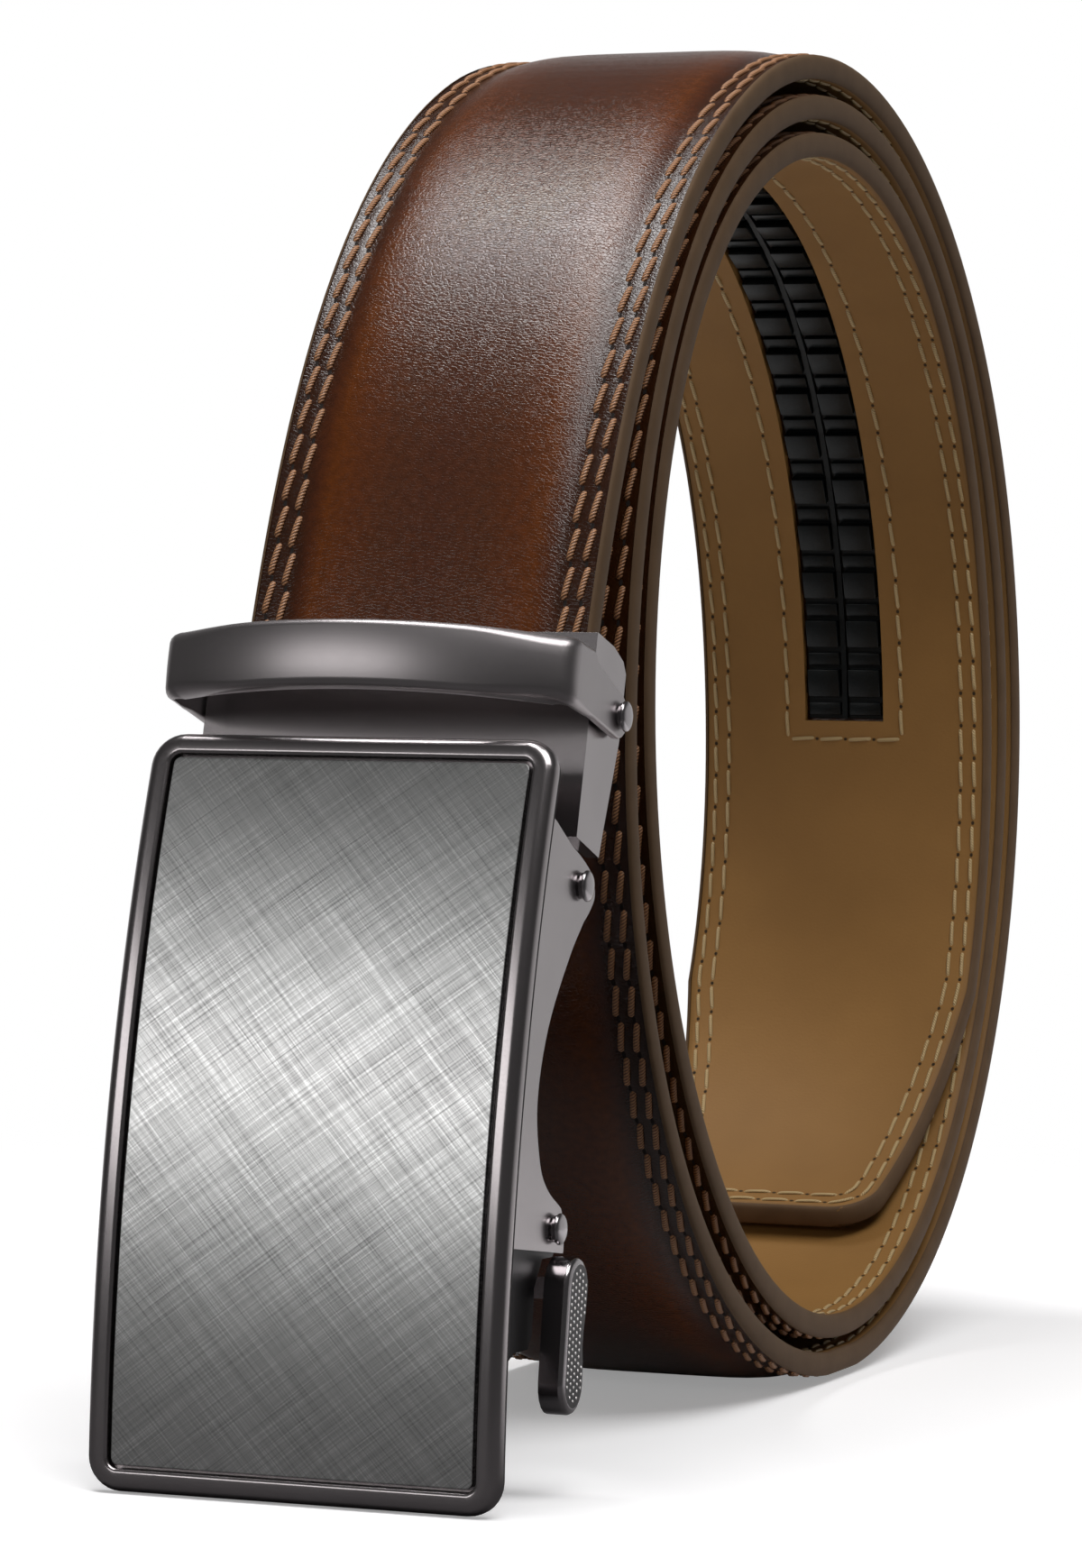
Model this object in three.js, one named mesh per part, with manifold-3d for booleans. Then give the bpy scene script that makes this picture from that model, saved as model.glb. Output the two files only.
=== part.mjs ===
// Ratchet belt: a lined leather strap, wound into a loose coil that stands on its turns like a
// wheel, with its sprung ratchet buckle hanging at the front and resting on its lower end.
// Millimetres. X runs across the strap, the buckle faces -Y, +Z is up.
import * as THREE from 'three';
import { mergeVertices } from 'three/addons/utils/BufferGeometryUtils.js';
import Module from 'manifold-3d';

const wasm = await Module();
wasm.setup();

// Strap
const strapWidth = 35;
const leatherThickness = 1.05;
const liningThickness = 1.05;
const glueLine = 0.3; // kept between leather, lining and track
const crownHeight = 0.8; // the padded middle stands this much over the stitched margins
const edgeRounding = 0.5;
const tipTaperLength = 37;
const tipEndWidth = 25;
const tipCorner = 5;

// Toothed track in the lining
const windowWidth = 9.6;
const windowClearance = 0.3;
const toothPitch = 6.1;
const toothCount = 30;
const toothHeight = 0.75;
const ribWidth = 0.9;
const trackFromTip = 70.5;
const trackSink = 0.5; // feet of the teeth under the lining's inner face

// Coil
const coilRadius = 70;
const turnClearance = 0.8; // between the padded middles of two turns that lie on each other
const coilEnd = 965; // degrees from the front of the first turn to the strap's tip
const riseEnd = 62; // degrees at which the strap's rise from the clamp joins the coil
const standOff = 10.7; // from the second turn's front to the strap at the clamp's mouth
const mouthAngle = 6.45; // degrees from the coil's front up to the mouth, seen from the coil's centre
const footFlat = 0.2; // the lowest turn is pressed flat by this much
const stationStep = 8.4;

// Face plate of the buckle
const plateWidth = 40.2;
const plateLength = 70.6; // along its arch
const plateArch = 191; // radius of the arch
const plateLean = 10.4; // degrees that its chord leans back
const plateThickness = 1.8;
const plateCorner = 3.2;
const plateRounding = 1.2;
const rimWidth = 2.2;
const recessDepth = 1.3;
const inlayThickness = 0.7;
const grooveWidth = 0.3;

// Side walls behind the plate, which hold the hinge and the pawl
const wallThickness = 1.4;
const wallSpacing = 35.8; // inside the walls, a little over the strap's width
const hingeAlong = plateLength * 0.8525;
const hingeDeep = 12.7;
const pawlAlong = plateLength * 0.3723;
const pawlDeep = 13.9;
const wallFoot = plateLength * 0.1703; // lower end of the walls
const earRadius = 3.7; // of the walls round the hinge and round the pawl's axis
const leverRecess = 0.9; // in the right wall, beside the lever
const leverBelow = 2.6; // lever's top under the pawl's axis

// Clamp bracket that holds the strap's cut end
const bracketTilt = 4.15; // degrees more than the plate's lean
const bracketHeight = 19.4;
const bracketDepth = 8.5;
const webThickness = 1.3;
const webLength = 14.4;
const hingeBelow = 4; // hinge under the bracket's lower edge
const hingeBehind = 2.6; // hinge behind the web's front
const clampedLength = 13;
const mouthAbove = 1.1; // strap's bend over the bracket's upper edge
const strapSeat = 1.3; // between the web's back and the strap at the mouth
const strapTilt = 4; // degrees between bracket and strap
const clampPlateThickness = 1.3;
const lugOverlap = 4; // length of the lug that is joined to the arm
const lugGap = 0.9; // between the wall's ear and the arm over it

// Keeper loop over the clamp
const keeperCheek = 0.9;
const keeperHeight = 6.3;
const keeperReach = 13.8; // from its rivets to the front of its bar at the corners
const keeperBow = 4.6;
const keeperBar = 2.2;
const keeperCorner = 2.4;
const keeperRivetUp = 12.7;
const keeperRivetDeep = 4.9;
const keeperRise = 1.1; // middle of the bar over the rivets
const cheekEnd = 2.1; // radius of the cheeks round the rivets

// Pins and the release lever
const pinRadius = 1.1;
const headRadius = 1.55;
const headHeight = 0.75;
const clearance = 0.3;
const leverLength = 14.3;
const leverWidth = 5.6;
const leverThickness = 2.35;
const leverSetBack = 1.2; // lever's middle behind the pawl's axis
const leverGap = 0.8; // between the lever and the recess in the wall
const leverLean = 7.5; // degrees that the lever's lower end stands forward
const leverBevel = 0.7;
const cut = 1; // how far a cutting solid goes past the face

const degrees = Math.PI / 180;
const strapThickness = crownHeight + leatherThickness + glueLine + liningThickness;
const coilPitch = strapThickness + turnClearance;

// The coil's outline by degrees from its front, over the top, as shares of its radius
const coilOutline = [
  { at: 0, share: 0.994 },
  { at: 45, share: 1.021 },
  { at: 90, share: 1.014 },
  { at: 135, share: 0.974 },
  { at: 180, share: 0.993 },
  { at: 225, share: 1.024 },
  { at: 270, share: 1.003 },
  { at: 315, share: 0.989 },
];

// How many turns lie outside the strap, by degrees along it
const turnsOutside = [
  { at: 45, turns: -0.83 },
  { at: 67, turns: -0.45 },
  { at: 90, turns: 0 },
  { at: 135, turns: 0 },
  { at: 225, turns: 0 },
  { at: 315, turns: 0 },
  { at: 360, turns: 0 },
  { at: 405, turns: 0.22 },
  { at: 450, turns: 1.02 },
  { at: 495, turns: 1.2 },
  { at: 540, turns: 1.4 },
  { at: 585, turns: 1.3 },
  { at: 630, turns: 1 },
  { at: 675, turns: 1.62 },
  { at: 720, turns: 1.33 },
  { at: 765, turns: 1.2 },
  { at: 810, turns: 2.02 },
  { at: 855, turns: 2.4 },
  { at: 900, turns: 3 },
  { at: 945, turns: 2.27 },
  { at: 990, turns: 1.95 },
];

// A smooth curve through rows of { at, value }: a natural cubic spline
function smoothCurve(rows, key) {
  const n = rows.length;
  const bend = new Array(n).fill(0);
  const carry = new Array(n).fill(0);
  for (let i = 1; i < n - 1; i++) {
    const before = rows[i].at - rows[i - 1].at;
    const after = rows[i + 1].at - rows[i].at;
    const slopeAfter = (rows[i + 1][key] - rows[i][key]) / after;
    const slopeBefore = (rows[i][key] - rows[i - 1][key]) / before;
    const pivot = 2 * (before + after) - before * carry[i - 1];
    carry[i] = after / pivot;
    bend[i] = (6 * (slopeAfter - slopeBefore) - before * bend[i - 1]) / pivot;
  }
  for (let i = n - 2; i > 0; i--) bend[i] -= carry[i] * bend[i + 1];
  return (x) => {
    let i = 0;
    while (i < n - 2 && x > rows[i + 1].at) i++;
    const span = rows[i + 1].at - rows[i].at;
    const b = (x - rows[i].at) / span;
    const a = 1 - b;
    const curve = ((a ** 3 - a) * bend[i] + (b ** 3 - b) * bend[i + 1]) * span * span / 6;
    return a * rows[i][key] + b * rows[i + 1][key] + curve;
  };
}

// Side walls: round the two axes in shares of the ears' radius, up the plate and behind the axis
const hingeEar = [
  { up: 1.03, back: -2.24 },
  { up: 0.78, back: -1 },
  { up: 0.7, back: -0.14 },
  { up: 0.49, back: 0.68 },
  { up: 0.03, back: 1 },
  { up: -0.43, back: 0.81 },
  { up: -0.86, back: 0.46 },
];
const pawlEar = [
  { up: 1, back: -0.68 },
  { up: 0.57, back: 0.38 },
  { up: 0.19, back: 0.62 },
  { up: -0.51, back: 0.73 },
  { up: -0.73, back: 0.62 },
  { up: -0.81, back: -0.08 },
];

// Scallop between the axes, and the tail from the lever's top to the wall's foot: shares of the
// way along the plate and of the axis' depth
const wallScallop = [
  { way: 0.78, depth: 0.93 },
  { way: 0.55, depth: 0.65 },
  { way: 0.34, depth: 0.57 },
  { way: 0.18, depth: 0.71 },
];
const wallTail = [
  { way: 0.72, depth: 0.86 },
  { way: 0.33, depth: 0.86 },
  { way: 0.22, depth: 0.79 },
  { way: 0.2, depth: 0.55 },
  { way: 0.09, depth: 0.36 },
  { way: 0, depth: 0.28 },
];

// Arm of the clamp bracket, in shares of its height and depth
const armOutline = [
  { up: 0, back: 0 },
  { up: 1, back: 0 },
  { up: 0.995, back: 0.55 },
  { up: 0.96, back: 0.88 },
  { up: 0.91, back: 1 },
  { up: 0.57, back: 1 },
  { up: 0.41, back: 0.93 },
  { up: 0.11, back: 0.79 },
  { up: -0.025, back: 0.74 },
];

// Pawl: from its axis to its toothed edge, in shares of its length and of its boss
const pawlOutline = [
  { up: -0.48, back: -0.96 },
  { up: 0.64, back: -1 },
  { up: 2.16, back: -2.64 },
  { up: 2.64, back: -2.56 },
  { up: 2.48, back: -1.84 },
  { up: 0.88, back: 0.4 },
];

const rivetHead = [
  { radius: 1, rise: 0 },
  { radius: 1, rise: 0.45 },
  { radius: 0.8, rise: 0.8 },
  { radius: 0.42, rise: 0.98 },
  { radius: 0, rise: 1 },
];

const outlineRows = [-360, 0, 360].flatMap((shift) => (
  coilOutline.map((row) => ({ ...row, at: row.at + shift }))
));
const outlineShare = smoothCurve(outlineRows, 'share');
const depthOfTurn = smoothCurve(turnsOutside, 'turns');

// Point of the strap's crown on the coil, from the coil's centre
function coilPoint(turn) {
  const radius = coilRadius * outlineShare(turn % 360) - coilPitch * depthOfTurn(turn);
  return new THREE.Vector2(-radius * Math.cos(turn * degrees), radius * Math.sin(turn * degrees));
}

// Buckle side view: u to the back, v up, from the lower front edge of the plate
function onPlate(along, deep) {
  const lean = plateLean * degrees + (along - plateLength / 2) / plateArch;
  const lowest = plateLean * degrees - plateLength / 2 / plateArch;
  const radius = plateArch - deep;
  return new THREE.Vector2(
    plateArch * Math.cos(lowest) - radius * Math.cos(lean),
    radius * Math.sin(lean) - plateArch * Math.sin(lowest),
  );
}

const hinge = onPlate(hingeAlong, hingeDeep);
const pawlAxis = onPlate(pawlAlong, pawlDeep);
const bracketLean = (plateLean + bracketTilt) * degrees;
const bracketUp = new THREE.Vector2(Math.sin(bracketLean), Math.cos(bracketLean));
const bracketBack = new THREE.Vector2(Math.cos(bracketLean), -Math.sin(bracketLean));

// Point in the bracket's side view: up from its lower edge, deep behind its front
function onBracket(up, deep) {
  return hinge.clone()
    .addScaledVector(bracketUp, up + hingeBelow)
    .addScaledVector(bracketBack, deep - hingeBehind);
}

const mouth = onBracket(bracketHeight + mouthAbove, webThickness + strapSeat);
const keeperAxis = onBracket(keeperRivetUp, keeperRivetDeep);

// The coil stands on its lowest point and the buckle hangs in front of its second turn.
// A larger or smaller coil turns the buckle with the strap, about the plate's lower edge.
const lowestTurn = 270;
const coilCentre = new THREE.Vector2(0, -coilPoint(lowestTurn).y - footFlat);
const frontOfCoil = coilPoint(360).x;
let buckleTurn = 0;
let mouthPoint = mouth;
for (let pass = 0; pass < 12; pass++) {
  mouthPoint = mouth.clone().rotateAround(new THREE.Vector2(), -buckleTurn);
  const climb = (mouthPoint.y - coilCentre.y) / (coilRadius + standOff);
  buckleTurn = Math.asin(THREE.MathUtils.clamp(climb, -0.7, 0.7)) - mouthAngle * degrees;
}
const buckleShift = new THREE.Vector2(frontOfCoil - standOff - mouthPoint.x, 0);
mouthPoint.add(buckleShift).sub(coilCentre);
const strapLean = bracketLean + strapTilt * degrees + buckleTurn;
const strapUp = new THREE.Vector2(Math.sin(strapLean), Math.cos(strapLean));

// The crown of the strap as one fine line: the clamped end, the rise and the coil
function crownLine() {
  const line = [];
  const start = mouthPoint.clone().addScaledVector(strapUp, -clampedLength);
  for (let i = 0; i < 6; i++) line.push(start.clone().lerp(mouthPoint, i / 6));
  const join = coilPoint(riseEnd);
  const joinAhead = coilPoint(riseEnd + 1).sub(join).normalize();
  const pull = join.distanceTo(mouthPoint) * 0.36;
  const rise = new THREE.CubicBezierCurve(
    mouthPoint,
    mouthPoint.clone().addScaledVector(strapUp, pull),
    join.clone().addScaledVector(joinAhead, -pull),
    join,
  );
  line.push(...rise.getSpacedPoints(60).slice(0, -1));
  for (let turn = riseEnd; turn <= coilEnd; turn += 1) line.push(coilPoint(turn));
  const floor = -coilCentre.y;
  for (const point of line) point.y = Math.max(point.y, floor);
  return line;
}

// Place on the strap at a distance from its cut end, with the way its face looks
function strapRoute() {
  const line = crownLine();
  const far = [0];
  for (let i = 1; i < line.length; i++) far.push(far[i - 1] + line[i].distanceTo(line[i - 1]));
  const at = (distance) => {
    let i = 1;
    while (i < line.length - 1 && far[i] < distance) i++;
    const share = (distance - far[i - 1]) / (far[i] - far[i - 1]);
    const point = line[i - 1].clone().lerp(line[i], share);
    const before = line[Math.max(i - 2, 0)];
    const after = line[Math.min(i + 1, line.length - 1)];
    const ahead = after.clone().sub(before).normalize();
    return { point, face: new THREE.Vector2(-ahead.y, ahead.x) };
  };
  return { at, length: far[far.length - 1] };
}

const route = strapRoute();

// Half of the strap's width: straight, then tapered to a tip with round corners
function halfWidth(distance) {
  const left = Math.max(route.length - distance, 0);
  const full = strapWidth / 2;
  const end = tipEndWidth / 2;
  const taper = left < tipTaperLength ? end + (full - end) * left / tipTaperLength : full;
  if (left >= tipCorner) return taper;
  const inset = tipCorner - Math.sqrt(tipCorner ** 2 - (tipCorner - left) ** 2);
  return taper - inset;
}

// Distances along the strap at which its sections stand
function strapStations(from, to) {
  const stations = [];
  const count = Math.ceil((to - from) / stationStep);
  const tipStart = route.length - tipCorner;
  for (let i = 0; i < count; i++) {
    const distance = from + (to - from) * i / count;
    if (distance < tipStart - 1) stations.push(distance);
  }
  if (to < tipStart) return [...stations, to];
  for (const share of [0, 0.4, 0.7, 0.9, 1]) stations.push(tipStart + tipCorner * share);
  return stations;
}

// Three.js geometry from lists of points and of corner numbers, with its faces pointing out
function meshGeometry(points, corners) {
  let volume = 0;
  for (let i = 0; i < corners.length; i += 3) {
    const [a, b, c] = [points[corners[i]], points[corners[i + 1]], points[corners[i + 2]]];
    volume += a.dot(b.clone().cross(c));
  }
  if (volume < 0) corners.reverse();
  const geometry = new THREE.BufferGeometry();
  const numbers = points.flatMap((point) => point.toArray());
  geometry.setAttribute('position', new THREE.Float32BufferAttribute(numbers, 3));
  geometry.setIndex(corners);
  return geometry;
}

// Closed skin over a row of rings that all have the same number of points
function loft(rings) {
  const size = rings[0].length;
  const points = rings.flat();
  const corners = [];
  for (let r = 0; r + 1 < rings.length; r++) {
    for (let i = 0; i < size; i++) {
      const j = (i + 1) % size;
      const [a, b, c, d] = [r * size + i, r * size + j, (r + 1) * size + j, (r + 1) * size + i];
      corners.push(a, b, c, a, c, d);
    }
  }
  const last = (rings.length - 1) * size;
  for (let i = 1; i + 1 < size; i++) {
    corners.push(0, i + 1, i);
    corners.push(last, last + i, last + i + 1);
  }
  return meshGeometry(points, corners);
}

// Ring of points across the strap from rows of { side, rise }, rise counted from the crown
function strapRing(distance, section) {
  const { point, face } = route.at(distance);
  return section.map(({ side, rise }) => {
    const place = point.clone().addScaledVector(face, rise).add(coilCentre);
    return new THREE.Vector3(side, place.x, place.y);
  });
}

// Section that is the same on both sides, from rows of the right half, outer face first
function mirrored(rows) {
  const left = rows.filter((row) => row.side > 0).map((row) => ({ side: -row.side, rise: row.rise }));
  return [...rows, ...left.reverse()];
}

function leatherSection(half) {
  const under = -crownHeight - leatherThickness;
  return mirrored([
    { side: half * 0.36, rise: -crownHeight * 0.06 },
    { side: half * 0.62, rise: -crownHeight * 0.4 },
    { side: half * 0.8, rise: -crownHeight * 0.92 },
    { side: half - edgeRounding, rise: -crownHeight },
    { side: half, rise: -crownHeight - edgeRounding },
    { side: half, rise: under },
  ]);
}

function liningSection(half) {
  const top = -strapThickness + liningThickness;
  return mirrored([
    { side: half, rise: top },
    { side: half, rise: -strapThickness + edgeRounding },
    { side: half - edgeRounding, rise: -strapThickness },
  ]);
}

// Box section of a strip that follows the strap
function stripSection(half, top, under) {
  return mirrored([
    { side: half, rise: top },
    { side: half, rise: under },
  ]);
}

const trackStart = route.length - trackFromTip - toothPitch * toothCount;
const trackEnd = route.length - trackFromTip;

function strapLeather() {
  const stations = strapStations(0, route.length);
  return loft(stations.map((at) => strapRing(at, leatherSection(halfWidth(at)))));
}

// Lining with the long window for the track
function strapLining() {
  const stations = strapStations(0, route.length);
  const lining = loft(stations.map((at) => strapRing(at, liningSection(halfWidth(at)))));
  const over = -strapThickness + liningThickness + glueLine / 2;
  const under = -strapThickness - liningThickness;
  const section = stripSection(windowWidth / 2, over, under);
  const ends = [trackStart - windowClearance, trackEnd + windowClearance];
  const opening = loft(strapStations(...ends).map((at) => strapRing(at, section)));
  return fromSolid(toSolid(lining).subtract(toSolid(opening)));
}

// Two rows of ratchet teeth with a rib between them: each tooth slopes up to its stop
function ratchetTrack() {
  const base = -strapThickness + liningThickness;
  const root = base - trackSink;
  const half = windowWidth / 2 - windowClearance;
  const rib = ribWidth / 2;
  const steps = [
    { at: 0, height: 1 },
    { at: 0.58, height: 0.55 },
    { at: 0.6, height: 0 },
    { at: 0.98, height: 0 },
  ];
  const rings = [];
  const ring = (distance, height) => {
    const tooth = root - toothHeight * height;
    const ribLevel = root - toothHeight * 0.85;
    rings.push(strapRing(distance, mirrored([
      { side: half, rise: base },
      { side: half, rise: tooth },
      { side: rib, rise: tooth },
      { side: rib, rise: ribLevel },
    ])));
  };
  for (let tooth = 0; tooth < toothCount; tooth++) {
    for (const step of steps) ring(trackStart + toothPitch * (tooth + step.at), step.height);
  }
  ring(trackEnd, 0);
  return loft(rings);
}

// Solids for cutting and joining
function toSolid(geometry) {
  const bare = new THREE.BufferGeometry();
  bare.setAttribute('position', geometry.getAttribute('position'));
  bare.setIndex(geometry.getIndex());
  const merged = mergeVertices(bare, 1e-4);
  return new wasm.Manifold(new wasm.Mesh({
    numProp: 3,
    vertProperties: new Float32Array(merged.getAttribute('position').array),
    triVerts: new Uint32Array(merged.getIndex().array),
  }));
}

function fromSolid(solid) {
  const mesh = solid.getMesh();
  const geometry = new THREE.BufferGeometry();
  geometry.setAttribute('position', new THREE.BufferAttribute(new Float32Array(mesh.vertProperties), 3));
  geometry.setIndex(new THREE.BufferAttribute(new Uint32Array(mesh.triVerts), 1));
  return geometry;
}

// Plate cut from a side view outline, thick along X between two values, with bevelled faces or not
function slab(outline, from, to, bevel = 0) {
  const geometry = new THREE.ExtrudeGeometry(outline, {
    depth: to - from - 2 * bevel,
    bevelEnabled: bevel > 0,
    bevelThickness: bevel,
    bevelSize: bevel,
    bevelOffset: -bevel,
    bevelSegments: 2,
    curveSegments: 8,
  });
  geometry.applyMatrix4(new THREE.Matrix4().makeBasis(
    new THREE.Vector3(0, 1, 0),
    new THREE.Vector3(0, 0, 1),
    new THREE.Vector3(1, 0, 0),
  ));
  geometry.translate(from + bevel, 0, 0);
  return toSolid(geometry);
}

const pinSides = 16;

function roundPin(centre, radius, from, to) {
  const circle = new THREE.Shape().absarc(centre.x, centre.y, radius, 0, 2 * Math.PI, false);
  return slab(new THREE.Shape(circle.getPoints(pinSides / 2)), from, to);
}

// Same solid on the other side of the buckle
const otherSide = (solid) => solid.mirror([1, 0, 0]);

// Slab that follows the plate's arch, with round corners and a rounded front edge
function archedSlab({ width, from, to, front, back, corner, rounding }) {
  const middle = (from + to) / 2;
  const rows = [0, 22.5, 45, 67.5, 90].map((angle) => ({
    along: from + corner * (1 - Math.cos(angle * degrees)),
    inset: corner * (1 - Math.sin(angle * degrees)),
  }));
  const straight = 8;
  for (let i = 1; i <= straight; i++) {
    rows.push({ along: from + corner + (middle - from - corner) * i / straight, inset: 0 });
  }
  const upper = rows.slice(0, -1).map((row) => ({ ...row, along: from + to - row.along }));
  const rings = [...rows, ...upper.reverse()].map(({ along, inset }) => {
    const half = width / 2 - inset;
    const end = Math.min(along - from, to - along);
    const fall = end < rounding ? rounding - Math.sqrt(rounding ** 2 - (rounding - end) ** 2) : 0;
    const section = [
      { side: half, deep: back },
      { side: half, deep: front + Math.max(rounding, fall) },
      { side: half - rounding * 0.3, deep: front + Math.max(rounding * 0.3, fall) },
      { side: half - rounding, deep: front + fall },
    ];
    const other = section.map(({ side, deep }) => ({ side: -side, deep })).reverse();
    return [...section, ...other].map(({ side, deep }) => {
      const place = onPlate(along, deep);
      return new THREE.Vector3(side, place.x, place.y);
    });
  });
  return toSolid(loft(rings));
}

// Places round an axis on the plate, from rows in shares of a radius
function roundAxis(rows, along, deep, radius) {
  return rows.map(({ up, back }) => onPlate(along + up * radius, deep + back * radius));
}

function wallOutline() {
  const inPlate = plateThickness / 2;
  const wallTop = hingeAlong + earRadius * 1.08;
  const onWay = (rows, from, to, depth) => (
    rows.map((row) => onPlate(THREE.MathUtils.lerp(from, to, row.way), depth * row.depth))
  );
  const shape = new THREE.Shape();
  const begin = onPlate(wallTop, inPlate);
  shape.moveTo(begin.x, begin.y);
  const ear = roundAxis(hingeEar, hingeAlong, hingeDeep, earRadius);
  for (const point of ear) shape.lineTo(point.x, point.y);
  const lower = roundAxis(pawlEar, pawlAlong, pawlDeep, earRadius);
  shape.splineThru([...onWay(wallScallop, pawlAlong, hingeAlong, hingeDeep), ...lower.slice(0, 2)]);
  const tail = onWay(wallTail, wallFoot, pawlAlong - leverBelow, pawlDeep);
  const foot = onPlate(wallFoot, inPlate);
  for (const point of [...lower.slice(2), ...tail, foot]) shape.lineTo(point.x, point.y);
  const steps = 6;
  for (let i = 1; i < steps; i++) {
    const point = onPlate(THREE.MathUtils.lerp(wallFoot, wallTop, i / steps), inPlate);
    shape.lineTo(point.x, point.y);
  }
  return shape;
}

const wallInside = wallSpacing / 2;
const wallOutside = wallInside + wallThickness;
const holeRadius = pinRadius + clearance;

// Arched plate with its rim, the recess for the inlay and the two drilled side walls
function faceFrame() {
  const plate = archedSlab({
    width: plateWidth,
    from: 0,
    to: plateLength,
    front: 0,
    back: plateThickness,
    corner: plateCorner,
    rounding: plateRounding,
  });
  const tray = archedSlab({
    width: plateWidth - 2 * rimWidth,
    from: rimWidth,
    to: plateLength - rimWidth,
    front: -plateThickness,
    back: recessDepth,
    corner: plateCorner - rimWidth,
    rounding: 0.01,
  });
  let wall = slab(wallOutline(), wallInside, wallOutside);
  for (const axis of [hinge, pawlAxis]) {
    wall = wall.subtract(roundPin(axis, holeRadius, wallInside - cut, wallOutside + cut));
  }
  const recessTop = pawlAlong - leverBelow + clearance;
  const recessFront = plateThickness + clearance;
  const recess = new THREE.Shape([
    onPlate(recessTop, recessFront),
    onPlate(recessTop, 2 * pawlDeep),
    onPlate(wallFoot - cut, 2 * pawlDeep),
    onPlate(wallFoot - cut, recessFront),
  ]);
  const rightWall = wall.subtract(slab(recess, wallOutside - leverRecess, wallOutside + cut));
  return fromSolid(plate.subtract(tray).add(rightWall).add(otherSide(wall)));
}

function faceInlay() {
  const inset = rimWidth + grooveWidth;
  return fromSolid(archedSlab({
    width: plateWidth - 2 * inset,
    from: inset,
    to: plateLength - inset,
    front: recessDepth - grooveWidth - inlayThickness,
    back: recessDepth - grooveWidth,
    corner: plateCorner - rimWidth,
    rounding: 0.15,
  }));
}

// Rectangle in the bracket's side view
function bracketBlock(up, top, front, back) {
  return new THREE.Shape([
    onBracket(up, front),
    onBracket(top, front),
    onBracket(top, back),
    onBracket(up, back),
  ]);
}

// Bent channel: a web in front, an arm at each side and a lug inside each side wall
function clampBracket() {
  const arm = new THREE.Shape(armOutline.map(({ up, back }) => (
    onBracket(bracketHeight * up, bracketDepth * back)
  )));
  const webFoot = bracketHeight - webLength;
  const web = bracketBlock(webFoot, bracketHeight, 0, webThickness);
  const flange = bracketBlock(clearance, webFoot + webThickness, 0, webThickness);
  const lugWidth = 2 * hingeBehind;
  const lug = bracketBlock(-hingeBelow, lugOverlap, clearance, lugWidth);
  const shoulder = bracketBlock(lugGap, lugOverlap, clearance, lugWidth);
  const lugInside = wallInside - clearance - wallThickness;
  const lugOutside = wallInside - clearance;
  const inArm = wallInside + wallThickness / 2;
  let side = slab(arm, wallInside, wallOutside)
    .add(slab(flange, wallInside - webThickness, inArm))
    .add(slab(lug, lugInside, lugOutside))
    .add(slab(shoulder, lugInside, inArm))
    .add(roundPin(hinge, lugWidth / 2, lugInside, lugOutside));
  side = side.subtract(roundPin(hinge, holeRadius, lugInside - cut, wallInside));
  side = side.subtract(roundPin(keeperAxis, holeRadius, wallInside - cut, wallOutside + cut));
  return fromSolid(slab(web, -wallOutside, wallOutside).add(side).add(otherSide(side)));
}

// Plain plate that presses the strap on the web from behind
function clampPlate() {
  const front = webThickness + strapSeat + strapThickness + clearance;
  const foot = bracketHeight * 0.45;
  const block = bracketBlock(foot, bracketHeight * 0.92, front, front + clampPlateThickness);
  return fromSolid(slab(block, clearance - wallInside, wallInside - clearance));
}

const cheekInside = wallOutside + clearance;
const cheekOutside = cheekInside + keeperCheek;
const barUp = keeperRivetUp + keeperRise;

// Side view of the keeper: its bar in front and the cheek that slants down to the rivet
function keeperProfile() {
  const half = keeperHeight / 2;
  const barFront = keeperRivetDeep - keeperReach - keeperBow - cut;
  const cheekFront = keeperRivetDeep - keeperReach;
  const round = [];
  const sides = 6;
  for (let i = 0; i <= sides; i++) {
    const angle = Math.PI * i / sides;
    const up = keeperRivetUp + cheekEnd * Math.cos(angle);
    round.push(onBracket(up, keeperRivetDeep + cheekEnd * Math.sin(angle)));
  }
  return new THREE.Shape([
    onBracket(barUp + half, barFront),
    onBracket(barUp + half, cheekFront + keeperReach * 0.42),
    onBracket(barUp + half * 0.7, cheekFront + keeperReach * 0.5),
    ...round,
    onBracket(keeperRivetUp - cheekEnd * 0.9, cheekFront + keeperReach * 0.5),
    onBracket(barUp - half, cheekFront + keeperReach * 0.38),
    onBracket(barUp - half, barFront),
  ]);
}

// Plan of the keeper seen along the bracket: side to side, and how far in front of its rivets
function keeperPlan(reach, halfSpan, corner, backEnd) {
  const flat = halfSpan - corner;
  const right = [67.5, 45, 22.5, 0].map((angle) => new THREE.Vector2(
    flat + corner * Math.sin(angle * degrees),
    reach - corner + corner * Math.cos(angle * degrees),
  ));
  const bow = [];
  const sides = 12;
  for (let i = 1; i < sides; i++) {
    const side = 1 - 2 * i / sides;
    bow.push(new THREE.Vector2(flat * side, reach + keeperBow * (1 - side ** 2)));
  }
  const left = right.map((point) => new THREE.Vector2(-point.x, point.y)).reverse();
  const ends = [
    new THREE.Vector2(-halfSpan, reach - corner),
    new THREE.Vector2(-halfSpan, backEnd),
    new THREE.Vector2(halfSpan, backEnd),
    new THREE.Vector2(halfSpan, reach - corner),
  ];
  const height = 3 * keeperHeight;
  const shape = new THREE.Shape([...right, ...bow, ...left, ...ends]);
  const geometry = new THREE.ExtrudeGeometry(shape, { depth: height, bevelEnabled: false });
  const origin = onBracket(barUp + height / 2, keeperRivetDeep);
  geometry.applyMatrix4(new THREE.Matrix4().makeBasis(
    new THREE.Vector3(1, 0, 0),
    new THREE.Vector3(0, -bracketBack.x, -bracketBack.y),
    new THREE.Vector3(0, -bracketUp.x, -bracketUp.y),
  ).setPosition(0, origin.x, origin.y));
  return toSolid(geometry);
}

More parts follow.
